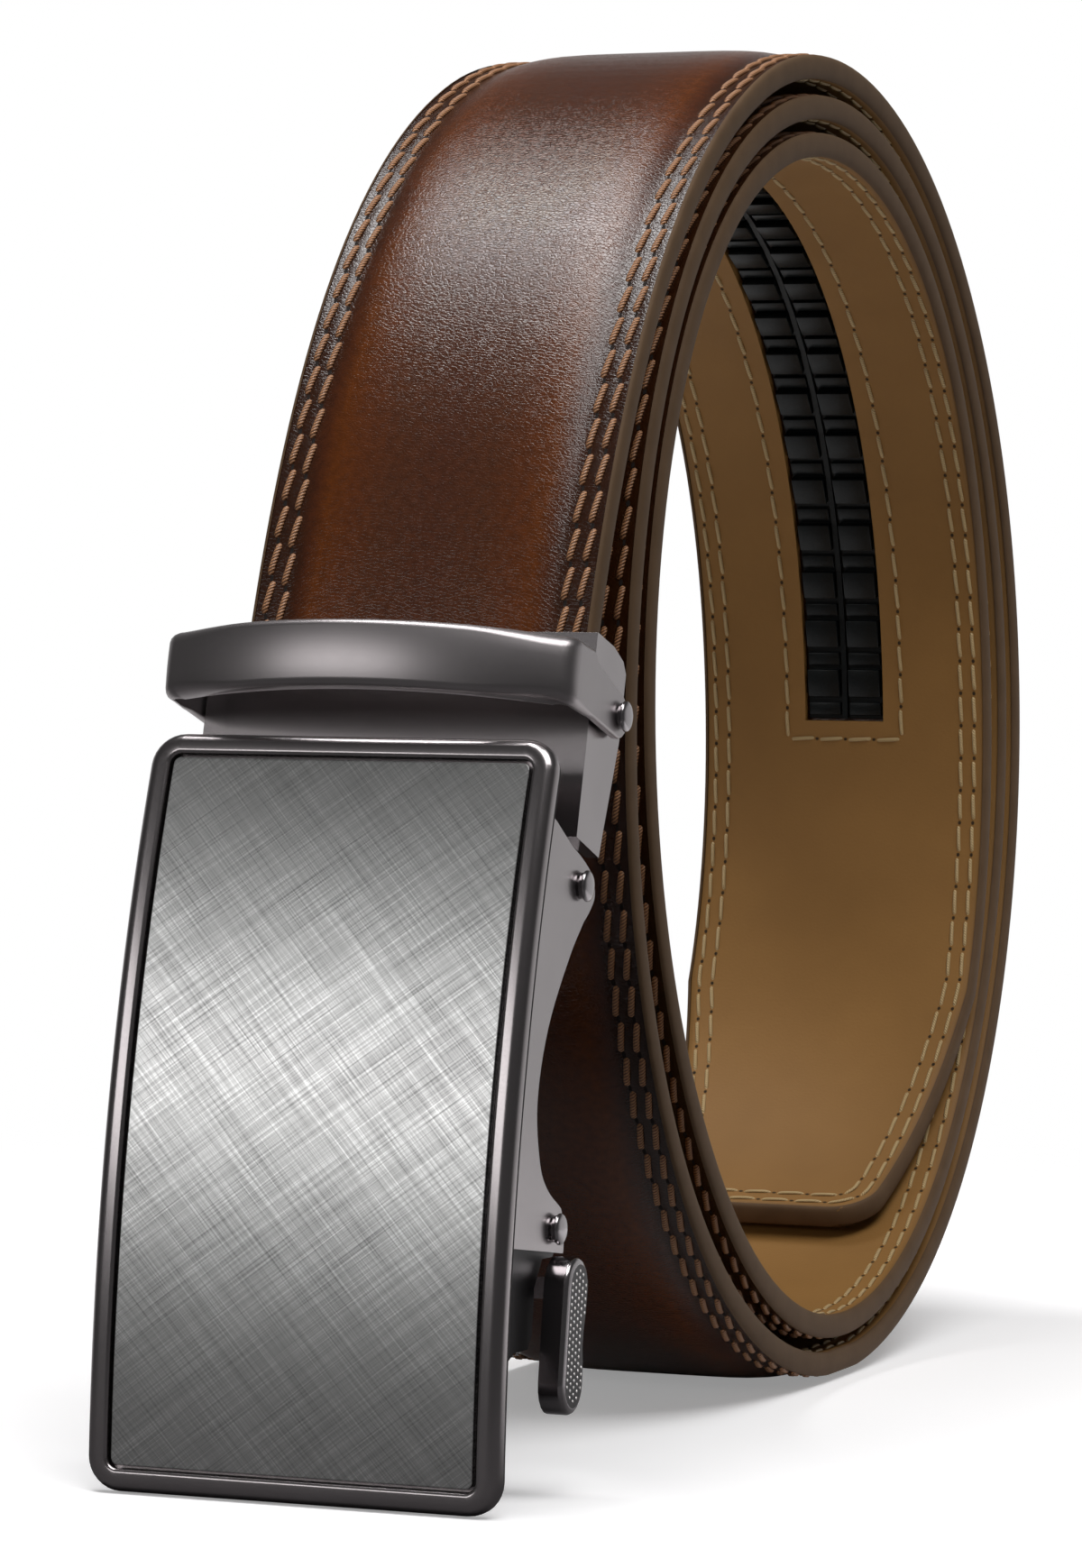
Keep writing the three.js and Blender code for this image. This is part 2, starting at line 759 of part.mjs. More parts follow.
// Loop for the strap's tip: a bowed bar whose two cheeks reach back to their rivets
function keeperLoop() {
  const backEnd = -2 * cheekEnd;
  const outer = keeperPlan(keeperReach, cheekOutside, keeperCorner, backEnd);
  const innerCorner = Math.max(keeperCorner - keeperCheek, keeperCheek);
  const inner = keeperPlan(keeperReach - keeperBar, cheekInside, innerCorner, backEnd - cut);
  const profile = slab(keeperProfile(), -cheekOutside - cut, cheekOutside + cut);
  const loop = outer.subtract(inner).intersect(profile);
  const holes = roundPin(keeperAxis, holeRadius, -cheekOutside - cut, cheekOutside + cut);
  return fromSolid(loop.subtract(holes));
}

// Rivet on the right side: a shank from its inner end and a domed head over its seat
function rivet(centre, inner, seat) {
  const foot = seat + clearance;
  const head = rivetHead.map(({ radius, rise }) => (
    new THREE.Vector2(headRadius * radius, foot + headHeight * rise)
  ));
  const profile = [
    new THREE.Vector2(0, inner),
    new THREE.Vector2(pinRadius, inner),
    new THREE.Vector2(pinRadius, foot),
    ...head,
  ];
  const geometry = new THREE.LatheGeometry(profile, 12);
  geometry.rotateZ(-Math.PI / 2);
  geometry.translate(0, centre.x, centre.y);
  return toSolid(geometry);
}

// Axle of the pawl: both heads on one long shank
function pawlPin() {
  const half = rivet(pawlAxis, -cut, wallOutside);
  return fromSolid(half.add(otherSide(half)));
}

// Toothed bar between the walls that locks into the track
function pawl() {
  const boss = holeRadius + pinRadius;
  const bar = new THREE.Shape(roundAxis(pawlOutline, pawlAlong, pawlDeep, boss));
  const half = wallInside - 2 * clearance;
  const solid = slab(bar, -half, half).add(roundPin(pawlAxis, boss, -half, half));
  return fromSolid(solid.subtract(roundPin(pawlAxis, holeRadius, -half - cut, half + cut)));
}

// Lever that the thumb presses: a waisted knob outside the wall, with a neck to the pawl's side
function releaseLever() {
  const top = onPlate(pawlAlong - leverBelow, pawlDeep + leverSetBack);
  const down = new THREE.Vector2(-Math.sin(leverLean * degrees), -Math.cos(leverLean * degrees));
  const back = new THREE.Vector2(-down.y, down.x);
  const onLever = (along, deep) => (
    top.clone().addScaledVector(down, along).addScaledVector(back, deep)
  );
  const half = leverWidth / 2;
  const arc = (centre, from) => {
    const points = [];
    const sides = 8;
    for (let i = 0; i <= sides; i++) {
      const angle = from + Math.PI * i / sides;
      points.push(onLever(centre - half * Math.sin(angle), -half * Math.cos(angle)));
    }
    return points;
  };
  const outline = new THREE.Shape([
    ...arc(half, 0),
    onLever(leverLength / 2, half * 0.86),
    ...arc(leverLength - half, Math.PI),
  ]);
  const inner = wallOutside - leverRecess + leverGap;
  const knob = slab(outline, inner, inner + leverThickness, leverBevel);
  const neck = new THREE.Shape([
    onLever(half * 0.7, half * 0.2),
    onLever(half * 0.7, half * 0.85),
    onLever(half * 1.4, half * 0.85),
    onLever(half * 1.4, half * 0.2),
  ]);
  return fromSolid(knob.add(slab(neck, wallInside - wallThickness, inner + leverThickness / 2)));
}

// Materials
const leatherBrown = new THREE.MeshStandardMaterial({ color: 0x5a2d18, roughness: 0.32, metalness: 0 });
const liningTan = new THREE.MeshStandardMaterial({ color: 0x6f5230, roughness: 0.7, metalness: 0 });
const trackBlack = new THREE.MeshStandardMaterial({ color: 0x14181a, roughness: 0.5, metalness: 0 });
const gunmetal = new THREE.MeshStandardMaterial({ color: 0x5c5859, roughness: 0.32, metalness: 1 });
const brushedGrey = new THREE.MeshStandardMaterial({ color: 0x8b8b8b, roughness: 0.4, metalness: 1 });

const belt = new THREE.Group();
const buckle = new THREE.Group();
buckle.position.set(0, buckleShift.x, 0);
buckle.rotation.x = -buckleTurn;
belt.add(buckle);

function addPiece(name, geometry, material, holder) {
  const mesh = new THREE.Mesh(geometry, material);
  mesh.name = name;
  holder.add(mesh);
}

addPiece('strap_leather', strapLeather(), leatherBrown, belt);
addPiece('strap_lining', strapLining(), liningTan, belt);
addPiece('ratchet_track', ratchetTrack(), trackBlack, belt);
addPiece('face_frame', faceFrame(), gunmetal, buckle);
addPiece('face_inlay', faceInlay(), brushedGrey, buckle);
addPiece('clamp_bracket', clampBracket(), gunmetal, buckle);
addPiece('clamp_plate', clampPlate(), gunmetal, buckle);
addPiece('keeper_loop', keeperLoop(), gunmetal, buckle);
addPiece('pawl', pawl(), gunmetal, buckle);
addPiece('pawl_pin', pawlPin(), gunmetal, buckle);
addPiece('release_lever', releaseLever(), gunmetal, buckle);
const hingeRivet = rivet(hinge, wallInside - 2 * clearance - wallThickness, wallOutside);
addPiece('hinge_rivet_right', fromSolid(hingeRivet), gunmetal, buckle);
addPiece('hinge_rivet_left', fromSolid(otherSide(hingeRivet)), gunmetal, buckle);
const keeperRivet = rivet(keeperAxis, wallInside, cheekOutside);
addPiece('keeper_rivet_right', fromSolid(keeperRivet), gunmetal, buckle);
addPiece('keeper_rivet_left', fromSolid(otherSide(keeperRivet)), gunmetal, buckle);

// The origin is under the middle of the whole belt, on the surface it stands on
belt.updateMatrixWorld(true);
const box = new THREE.Box3().setFromObject(belt);
const middle = box.getCenter(new THREE.Vector3());
belt.position.set(-middle.x, -middle.y, -box.min.z);

export default belt;
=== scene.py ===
# Ratchet belt: burnished strap wound into a coil, with its gunmetal plate buckle in front.
# Lengths are in millimetres until a piece is finished, which turns them to metres.
import bpy
import bmesh
import math
import numpy as np
from mathutils import Matrix, Vector


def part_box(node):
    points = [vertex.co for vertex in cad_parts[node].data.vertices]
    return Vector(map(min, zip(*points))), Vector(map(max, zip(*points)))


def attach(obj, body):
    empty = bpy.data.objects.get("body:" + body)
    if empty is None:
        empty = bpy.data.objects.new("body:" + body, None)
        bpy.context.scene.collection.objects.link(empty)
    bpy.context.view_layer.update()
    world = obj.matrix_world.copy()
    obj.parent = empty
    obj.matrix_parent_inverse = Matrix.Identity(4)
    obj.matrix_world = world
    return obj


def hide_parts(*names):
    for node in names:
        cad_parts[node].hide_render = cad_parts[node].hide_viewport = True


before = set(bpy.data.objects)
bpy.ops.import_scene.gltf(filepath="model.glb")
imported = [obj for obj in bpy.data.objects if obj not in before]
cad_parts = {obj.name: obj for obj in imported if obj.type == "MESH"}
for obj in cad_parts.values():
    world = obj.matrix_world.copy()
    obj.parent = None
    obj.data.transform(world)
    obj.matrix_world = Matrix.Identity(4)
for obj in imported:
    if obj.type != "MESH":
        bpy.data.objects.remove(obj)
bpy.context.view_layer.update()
scene = bpy.context.scene
print("frame loaded")


# Small helpers

def linear(code):  # sRGB hex to a linear colour
    parts = [int(code[i:i + 2], 16) / 255 for i in (1, 3, 5)]
    return [p / 12.92 if p <= 0.04045 else ((p + 0.055) / 1.055) ** 2.4 for p in parts] + [1.0]


def addNode(tree, kind, inputs=None, stops=None, **settings):  # a value, or (node, output), per socket
    node = tree.nodes.new("ShaderNode" + kind)
    for name, value in settings.items():
        setattr(node, name, value)
    for place, code in stops or []:
        first = (place, code) == stops[0]
        last = (place, code) == stops[-1]
        ramp = node.color_ramp.elements
        element = ramp[0] if first else ramp[-1] if last else ramp.new(place)
        element.position = place
        element.color = linear(code)
    for socket, value in (inputs or {}).items():
        if isinstance(value, tuple) and isinstance(value[0], bpy.types.Node):
            tree.links.new(value[0].outputs[value[1]], node.inputs[socket])
        else:
            node.inputs[socket].default_value = value
    return node


def newMaterial(name):
    material = bpy.data.materials.new(name)
    material.use_nodes = True
    material.node_tree.nodes.clear()
    return material, material.node_tree


def finishMaterial(material, inputs):  # the shader and its output
    shader = addNode(material.node_tree, "BsdfPrincipled", inputs)
    addNode(material.node_tree, "OutputMaterial", {"Surface": (shader, "BSDF")})
    return material


def smoothCurve(rows):  # natural cubic spline through (at, value)
    at, value = np.array(rows, float).T
    count = len(at)
    step = np.diff(at)
    sums = np.eye(count)
    side = np.zeros(count)
    for i in range(1, count - 1):
        sums[i, i - 1:i + 2] = step[i - 1], 2 * (step[i - 1] + step[i]), step[i]
        side[i] = 6 * ((value[i + 1] - value[i]) / step[i] - (value[i] - value[i - 1]) / step[i - 1])
    bend = np.linalg.solve(sums, side)

    def curve(x):
        i = np.clip(np.searchsorted(at, x) - 1, 0, count - 2)
        b = (x - at[i]) / step[i]
        a = 1 - b
        arch = ((a ** 3 - a) * bend[i] + (b ** 3 - b) * bend[i + 1]) * step[i] ** 2 / 6
        return a * value[i] + b * value[i + 1] + arch
    return curve


def throughPoints(points, steps):  # smooth open curve through points
    points = np.array(points, float)
    ends = [2 * points[0] - points[1], *points, 2 * points[-1] - points[-2]]
    curve = []
    for p0, p1, p2, p3 in zip(ends, ends[1:], ends[2:], ends[3:]):
        for t in np.arange(steps) / steps:
            curve.append(0.5 * (2 * p1 + (p2 - p0) * t + (2 * p0 - 5 * p1 + 4 * p2 - p3) * t ** 2
                                + (3 * p1 - p0 - 3 * p2 + p3) * t ** 3))
    return curve + [points[-1]]


def faceOut(bm):
    bmesh.ops.recalc_face_normals(bm, faces=bm.faces[:])


def newVerts(made):  # the vertices among what an operator made
    return [g for g in made["geom"] if isinstance(g, bmesh.types.BMVert)]


def weld(bm, reach):
    bmesh.ops.remove_doubles(bm, verts=bm.verts[:], dist=reach)


def repeatBy(bm, step, times):  # doubles all that is there until it stands the given times, or more
    count = 1
    while count < times:
        copy = bmesh.ops.duplicate(bm, geom=bm.verts[:] + bm.edges[:] + bm.faces[:])
        bmesh.ops.translate(bm, verts=newVerts(copy), vec=[part * count for part in step])
        count *= 2


def deleteVerts(bm, beyond):
    bmesh.ops.delete(bm, geom=[vert for vert in bm.verts if beyond(vert.co)], context="VERTS")


def toMesh(bm, name):
    mesh = bpy.data.meshes.new(name)
    bm.to_mesh(mesh)
    bm.free()
    return mesh


def addObject(name, data):
    made = bpy.data.objects.new(name, data)
    scene.collection.objects.link(made)
    return made


def bevelEdges(bm, edges, width, segments, **more):
    bmesh.ops.bevel(bm, geom=list(edges), offset=width, segments=segments, profile=0.5,
                    affect="EDGES", material=-1, **more)


def finishPiece(bm, name, materials, body, nodes, place=None, sharpAngle=35, flat=False):
    mesh = toMesh(bm, name)
    if place is not None:
        points = np.zeros(len(mesh.vertices) * 3)
        mesh.vertices.foreach_get("co", points)
        mesh.vertices.foreach_set("co", (place(points.reshape(-1, 3)) * 0.001).ravel())
    mesh.shade_smooth()
    mesh.set_sharp_from_angle(angle=math.radians(sharpAngle))
    mesh.update()
    piece = addObject(name, mesh)
    for material in materials:
        mesh.materials.append(material)
    if flat:  # the wide faces stay flat beside their rounded edges
        modifier = piece.modifiers.new("flat faces", "WEIGHTED_NORMAL")
        modifier.keep_sharp = True
    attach(piece, body)
    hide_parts(*nodes)
    return piece


def keepPlace(mesh, name, values):  # a vector for each vertex, which a material reads
    attribute = mesh.attributes.new(name, "FLOAT_VECTOR", "POINT")
    attribute.data.foreach_set("vector", np.asarray(values, np.float32).ravel())


# The buckle's side view and the strap's course

buckle = {
    "plateLength": 70.6,
    "plateArch": 191.0,
    "plateLean": 10.4,
    "hingeAlong": 60.18,
    "hingeDeep": 12.7,
    "bracketTilt": 4.15,
    "hingeBelow": 4.0,
    "hingeBehind": 2.6,
}


def centreOf(node):  # of a CAD node, in mm
    low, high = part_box(node)
    return np.array((low + high) / 2) * 1000


def inPlate(along, deep):
    arch = buckle["plateArch"]
    lowest = math.radians(buckle["plateLean"]) - buckle["plateLength"] / 2 / arch
    lean = lowest + along / arch
    u = arch * math.cos(lowest) - (arch - deep) * np.cos(lean)
    v = (arch - deep) * np.sin(lean) - arch * math.sin(lowest)
    return np.stack([u, v], -1)


hinge = centreOf("hinge_rivet_right")[1:]
plateFoot = hinge - inPlate(buckle["hingeAlong"], buckle["hingeDeep"])
bracketLean = math.radians(buckle["plateLean"] + buckle["bracketTilt"])
bracketUp = np.array([math.sin(bracketLean), math.cos(bracketLean)])
bracketBack = np.array([math.cos(bracketLean), -math.sin(bracketLean)])


def onPlate(flat):  # (side, along, deep) to a point
    place = inPlate(flat[:, 1], flat[:, 2]) + plateFoot
    return np.column_stack([flat[:, 0], place])


def onBracket(up, deep):
    return (hinge + bracketUp * (up + buckle["hingeBelow"])
            + bracketBack * (deep - buckle["hingeBehind"]))


strap = {
    "halfWidth": 17.5,
    "tipHalf": 12.5,
    "taper": 37.0,
    "tipCorner": 5.0,
    "crown": 0.8,  # the padded middle over the margins
    "crease": 4.0,  # from the edge to the padded middle
    "margin": 5.2,  # keeps its width where the strap tapers
    "leatherUnder": -1.9,
    "liningTop": -2.1,
    "inside": -3.2,  # face of the lining
    "trackFromTip": 70.5,
    "toothPitch": 6.1,
    "toothCount": 30,
    "windowHalf": 4.8,
    "windowGap": 0.3,
    "coilRadius": 70.0,
    "coilPitch": 4.0,
    "coilCentre": (19.008, 70.008),
    "riseEnd": 62,
    "coilEnd": 965,
    "clamped": 13.0,
    "mouthUp": 20.5,
    "mouthDeep": 2.6,
    "tilt": 4.0,  # degrees between bracket and strap
}
coilOutline = [(0, .994), (45, 1.021), (90, 1.014), (135, .974), (180, .993), (225, 1.024),
               (270, 1.003), (315, .989)]
turnsOutside = [(45, -.83), (67, -.45), (90, 0), (135, 0), (225, 0), (315, 0), (360, 0),
                (405, .22), (450, 1.02), (495, 1.2), (540, 1.4), (585, 1.3), (630, 1),
                (675, 1.62), (720, 1.33), (765, 1.2), (810, 2.02), (855, 2.4), (900, 3),
                (945, 2.27), (990, 1.95)]
outlineShare = smoothCurve([(at + turn, s) for turn in (-360, 0, 360) for at, s in coilOutline])
depthOfTurn = smoothCurve(turnsOutside)


def coilPoint(turn):
    turn = np.asarray(turn, float)
    radius = strap["coilRadius"] * outlineShare(turn % 360) - strap["coilPitch"] * depthOfTurn(turn)
    angle = np.radians(turn)
    out = np.stack([-radius * np.cos(angle), radius * np.sin(angle)], -1)
    return out + np.array(strap["coilCentre"])


def crownLine():  # the middle of the strap's outer face, from the clamp to the tip
    mouth = onBracket(strap["mouthUp"], strap["mouthDeep"])
    lean = bracketLean + math.radians(strap["tilt"])
    up = np.array([math.sin(lean), math.cos(lean)])
    join = coilPoint(strap["riseEnd"])
    ahead = coilPoint(strap["riseEnd"] + 1) - join
    ahead /= np.linalg.norm(ahead)
    pull = np.linalg.norm(join - mouth) * 0.36
    corners = [mouth, mouth + up * pull, join - ahead * pull, join]
    t = np.linspace(0, 1, 61)[:-1, None]
    rise = sum(w * c for w, c in zip(((1 - t) ** 3, 3 * t * (1 - t) ** 2, 3 * t * t * (1 - t), t ** 3),
                                     corners))
    clamped = mouth - up * np.linspace(strap["clamped"], 0, 7)[:-1, None]
    line = np.vstack([clamped, rise, coilPoint(np.arange(strap["riseEnd"], strap["coilEnd"] + 1))])
    line[:, 1] = np.maximum(line[:, 1], 0)
    return line


line = crownLine()
far = np.concatenate([[0], np.cumsum(np.linalg.norm(np.diff(line, axis=0), axis=1))])
strapLength = far[-1]
ahead = np.gradient(line, far, axis=0)
ahead /= np.linalg.norm(ahead, axis=1)[:, None]
trackStart = strapLength - strap["trackFromTip"] - strap["toothPitch"] * strap["toothCount"]
trackEnd = strapLength - strap["trackFromTip"]


def onStrap(flat):  # (side, along, rise from the crown) to a point
    along, rise = flat[:, 1], flat[:, 2]
    y, z, aheadY, aheadZ = (np.interp(along, far, row) for row in (*line.T, *ahead.T))
    return np.column_stack([flat[:, 0], y - aheadZ * rise, z + aheadY * rise])


def halfWidth(along):
    left = np.maximum(strapLength - along, 0)
    half = np.interp(left, [0, strap["taper"]], [strap["tipHalf"], strap["halfWidth"]])
    corner = strap["tipCorner"]
    near = np.clip(corner - left, 0, corner)
    return half - (corner - np.sqrt(corner ** 2 - near ** 2))


def crownRise(gap):  # by the distance from the edge: padded middle, crease, grooves of the stitches
    reach = strap["halfWidth"] - strap["crease"]
    t = np.clip(1 - (gap - strap["crease"]) / reach, 0, 1)
    groove = sum(np.exp(-((gap - row) / stitching["grooveHalf"]) ** 2) for row in stitching["rows"])
    return -strap["crown"] * t ** 6 - stitching["groove"] * groove


stitching = {
    "rows": (1.6, 3.2),  # from the edge
    "pitch": 3.95,
    "groove": 0.1,
    "grooveHalf": 0.4,
    "windowRow": 2.2,  # outside the window
    "outer": {"length": 3.92, "width": 0.68, "slant": 0.6, "hole": 0.32},
    "inner": {"length": 3.6, "width": 0.46, "slant": 0.2, "hole": 0.26},
}

print("strap's course laid:", round(strapLength, 1), "mm")


# Materials

def strapPlane(tree):  # (side, along, gap from the edge), and the first two as a flat place
    place = addNode(tree, "Attribute", attribute_name="strapPlace")
    parts = addNode(tree, "SeparateXYZ", {"Vector": (place, "Vector")})
    return parts, addNode(tree, "CombineXYZ", {"X": (parts, "X"), "Y": (parts, "Y")})


def strapLeatherMaterial():
    # Burnished full grain cow leather, waxed: dark padded middle, amber bands beside the creases which are
    # partly burnish and partly painted highlight where the padded middle rounds down, fine creases across
    # and a soft gloss.
    material, tree = newMaterial("burnished_leather")
    parts, flat = strapPlane(tree)
    cloud = addNode(tree, "TexNoise", {"Vector": (flat, "Vector"), "Scale": 1 / 14, "Detail": 3.0})
    shifted = addNode(tree, "MapRange", {"Value": (cloud, "Fac"), "To Min": -1.4, "To Max": 1.4})
    gap = addNode(tree, "Math", {0: (parts, "Z"), 1: (shifted, "Result")}, operation="ADD")
    tone = addNode(tree, "MapRange", {"Value": (gap, "Value"), "From Max": 17.5})
    # amber stops beside the creases: partly burnish, partly painted highlight on the padded middle's
    # rounded flanks
    colour = addNode(tree, "ValToRGB", {"Fac": (tone, "Result")}, stops=[
        (0.0, "#2c1406"), (0.2, "#321707"), (0.27, "#46200a"), (0.36, "#5a2b06"),
        (0.5, "#53280d"), (0.7, "#4a2612"), (1.0, "#472413")])
    pores = addNode(tree, "TexNoise", {"Vector": (flat, "Vector"), "Scale": 1 / 0.9, "Detail": 4.0})
    speckle = addNode(tree, "MapRange", {"Value": (pores, "Fac"), "From Min": 0.35, "From Max": 0.65,
                                         "To Min": 0.82, "To Max": 1.1})
    tinted = addNode(tree, "Mix", {"Factor": 1.0, 6: (colour, "Color"), 7: (speckle, "Result")},
                     data_type="RGBA", blend_type="MULTIPLY")
    squeezed = addNode(tree, "Mapping", {"Vector": (flat, "Vector"), "Scale": (2.1, 3.1, 1.0)})
    cells = addNode(tree, "TexVoronoi", {"Vector": (squeezed, "Vector"), "Scale": 1.0,
                                         "Randomness": 1.0}, feature="DISTANCE_TO_EDGE")
    creases = addNode(tree, "MapRange", {"Value": (cells, "Distance"), "From Max": 0.16})
    wrinkle = addNode(tree, "TexNoise", {"Vector": (squeezed, "Vector"), "Scale": 1.3, "Detail": 5.0,
                                         "Roughness": 0.6})
    height = addNode(tree, "Math", {0: (creases, "Result"), 1: 0.45, 2: (wrinkle, "Fac")},
                     operation="MULTIPLY_ADD")
    bump = addNode(tree, "Bump", {"Strength": 0.3, "Distance": 0.0001, "Height": (height, "Value")})
    gloss = addNode(tree, "MapRange", {"Value": (cloud, "Fac"), "To Min": 0.19, "To Max": 0.25})
    return finishMaterial(material, {
        "Base Color": (tinted, 2), "Roughness": (gloss, "Result"), "IOR": 1.5,
        "Normal": (bump, "Normal")})


def edgePaintMaterial():
    # Acrylic edge paint, brushed on and wiped: taupe, satin, faintly uneven along the edge.
    material, tree = newMaterial("edge_paint")
    place = addNode(tree, "TexCoord")
    cloud = addNode(tree, "TexNoise", {"Vector": (place, "Object"), "Scale": 1000 / 3.0, "Detail": 3.0})
    colour = addNode(tree, "ValToRGB", {"Fac": (cloud, "Fac")}, stops=[
        (0.3, "#5a4633"), (0.7, "#614c38")])
    bump = addNode(tree, "Bump", {"Strength": 0.12, "Distance": 0.0002, "Height": (cloud, "Fac")})
    return finishMaterial(material, {
        "Base Color": (colour, "Color"), "Roughness": 0.7, "IOR": 1.25, "Normal": (bump, "Normal")})


def liningMaterial():
    # Split leather with a pressed finish: even tan, matt, with very fine grain.
    material, tree = newMaterial("tan_split_leather")
    parts, flat = strapPlane(tree)
    cloud = addNode(tree, "TexNoise", {"Vector": (flat, "Vector"), "Scale": 1 / 18, "Detail": 4.0})
    colour = addNode(tree, "ValToRGB", {"Fac": (cloud, "Fac")}, stops=[
        (0.3, "#896333"), (0.7, "#946c39")])
    edge = addNode(tree, "MapRange", {"Value": (parts, "Z"), "From Max": 1.4, "To Min": 0.62})
    tinted = addNode(tree, "Mix", {"Factor": 1.0, 6: (colour, "Color"), 7: (edge, "Result")},
                     data_type="RGBA", blend_type="MULTIPLY")
    grain = addNode(tree, "TexNoise", {"Vector": (flat, "Vector"), "Scale": 1 / 0.35, "Detail": 3.0})
    bump = addNode(tree, "Bump", {"Strength": 0.22, "Distance": 0.00012, "Height": (grain, "Fac")})
    return finishMaterial(material, {
        "Base Color": (tinted, 2), "Roughness": 0.6, "IOR": 1.35, "Normal": (bump, "Normal")})


def threadMaterial(name, dark, light):
    # Bonded polyester thread of three plies: the twist shows as slanting ridges, with painted highlight on
    # each ply's crest and painted shade in the grooves between plies.
    material, tree = newMaterial(name)
    twist = addNode(tree, "UVMap", uv_map="ply")
    turn = addNode(tree, "VectorMath", {0: (twist, "UV"), 1: (22 * math.pi, 6 * math.pi, 0)},
                   operation="DOT_PRODUCT")
    ridge = addNode(tree, "Math", {0: (turn, "Value")}, operation="SINE")
    tone = addNode(tree, "MapRange", {"Value": (ridge, "Value"), "From Min": -1.0})
    # dark to light across each ply: painted shade in the grooves, painted highlight on the crests
    colour = addNode(tree, "ValToRGB", {"Fac": (tone, "Result")}, stops=[(0.0, dark), (0.75, light)])
    bump = addNode(tree, "Bump", {"Strength": 0.5, "Distance": 0.00015, "Height": (tone, "Result")})
    return finishMaterial(material, {
        "Base Color": (colour, "Color"), "Roughness": 0.5, "IOR": 1.5, "Normal": (bump, "Normal")})


def holeMaterial(name, dark, light):
    # Needle hole: raw leather in its own shadow.
    material, tree = newMaterial(name)
    place = addNode(tree, "TexCoord")
    fuzz = addNode(tree, "TexNoise", {"Vector": (place, "Object"), "Scale": 1000 / 0.3})
    colour = addNode(tree, "ValToRGB", {"Fac": (fuzz, "Fac")}, stops=[(0.3, dark), (0.7, light)])
    return finishMaterial(material, {"Base Color": (colour, "Color"), "Roughness": 0.9, "IOR": 1.45})


def trackMaterial():
    # Moulded nylon, black with a cold sheen: fine spark-eroded skin on the tooth faces.
    material, tree = newMaterial("moulded_nylon")
    place = addNode(tree, "TexCoord")
    skin = addNode(tree, "TexNoise", {"Vector": (place, "Object"), "Scale": 1000 / 0.25, "Detail": 2.0})
    colour = addNode(tree, "ValToRGB", {"Fac": (skin, "Fac")}, stops=[(0.3, "#07090a"), (0.7, "#0d1314")])
    bump = addNode(tree, "Bump", {"Strength": 0.15, "Distance": 0.0001, "Height": (skin, "Fac")})
    return finishMaterial(material, {
        "Base Color": (colour, "Color"), "Roughness": 0.36, "IOR": 1.33, "Normal": (bump, "Normal")})


def gunmetalMaterial(name, dark, light, roughness):
    # Die-cast zinc plated with black nickel: bead blasted, so highlights have soft edges, or polished
    # where the roughness is lower. The pale knurl dots are a painted highlight and the nearly black
    # pockets are painted shade.
    material, tree = newMaterial(name)
    place = addNode(tree, "TexCoord")
    blast = addNode(tree, "TexNoise", {"Vector": (place, "Object"), "Scale": 1000 / 0.22, "Detail": 2.0})
    cloud = addNode(tree, "TexNoise", {"Vector": (place, "Object"), "Scale": 1000 / 9.0, "Detail": 2.0})
    colour = addNode(tree, "ValToRGB", {"Fac": (cloud, "Fac")}, stops=[(0.3, dark), (0.7, light)])
    soft = addNode(tree, "MapRange", {"Value": (blast, "Fac"), "To Min": roughness - 0.03,
                                      "To Max": roughness + 0.03})
    bump = addNode(tree, "Bump", {"Strength": 0.02, "Distance": 0.00002, "Height": (blast, "Fac")})
    return finishMaterial(material, {
        "Base Color": (colour, "Color"), "Metallic": 1.0, "Roughness": (soft, "Result"),
        "Normal": (bump, "Normal")})


def brushedMaterial():
    # Stainless sheet brushed twice, across itself: long fine scratches in two slanting directions.
    material, tree = newMaterial("cross_brushed_steel")
    place = addNode(tree, "Attribute", attribute_name="platePlace")
    layers = []
    for turn, thin, seed in ((38, 0.1, 3.0), (-47, 0.095, 17.0), (36, 0.2, 29.0), (-49, 0.18, 41.0)):
        turned = addNode(tree, "Mapping", {"Vector": (place, "Vector"), "Location": (seed, seed, 0.0),
                                           "Rotation": (0.0, 0.0, -math.radians(turn))})
        drawn = addNode(tree, "Mapping", {"Vector": (turned, "Vector"),
                                          "Scale": (1 / 14.0, 1 / thin, 1.0)})
        layers.append(addNode(tree, "TexNoise", {"Vector": (drawn, "Vector"), "Scale": 1.0,
                                                 "Detail": 2.0, "Roughness": 0.6}))
    fine = addNode(tree, "Math", {0: (layers[0], "Fac"), 1: (layers[1], "Fac")}, operation="ADD")
    broad = addNode(tree, "Math", {0: (layers[2], "Fac"), 1: (layers[3], "Fac")}, operation="ADD")
    both = addNode(tree, "Math", {0: (broad, "Value"), 1: 0.7, 2: (fine, "Value")},
                   operation="MULTIPLY_ADD")
    tone = addNode(tree, "MapRange", {"Value": (both, "Value"), "From Min": 1.32, "From Max": 2.08})
    colour = addNode(tree, "ValToRGB", {"Fac": (tone, "Result")}, stops=[
        (0.0, "#868685"), (0.35, "#a9a9a8"), (0.6, "#b7b7b6"), (1.0, "#dededd")])
    gloss = addNode(tree, "MapRange", {"Value": (tone, "Result"), "To Min": 0.36, "To Max": 0.28})
    bump = addNode(tree, "Bump", {"Strength": 0.1, "Distance": 0.00005, "Height": (tone, "Result")})
    return finishMaterial(material, {
        "Base Color": (colour, "Color"), "Metallic": 1.0, "Roughness": (gloss, "Result"),
        "Normal": (bump, "Normal")})


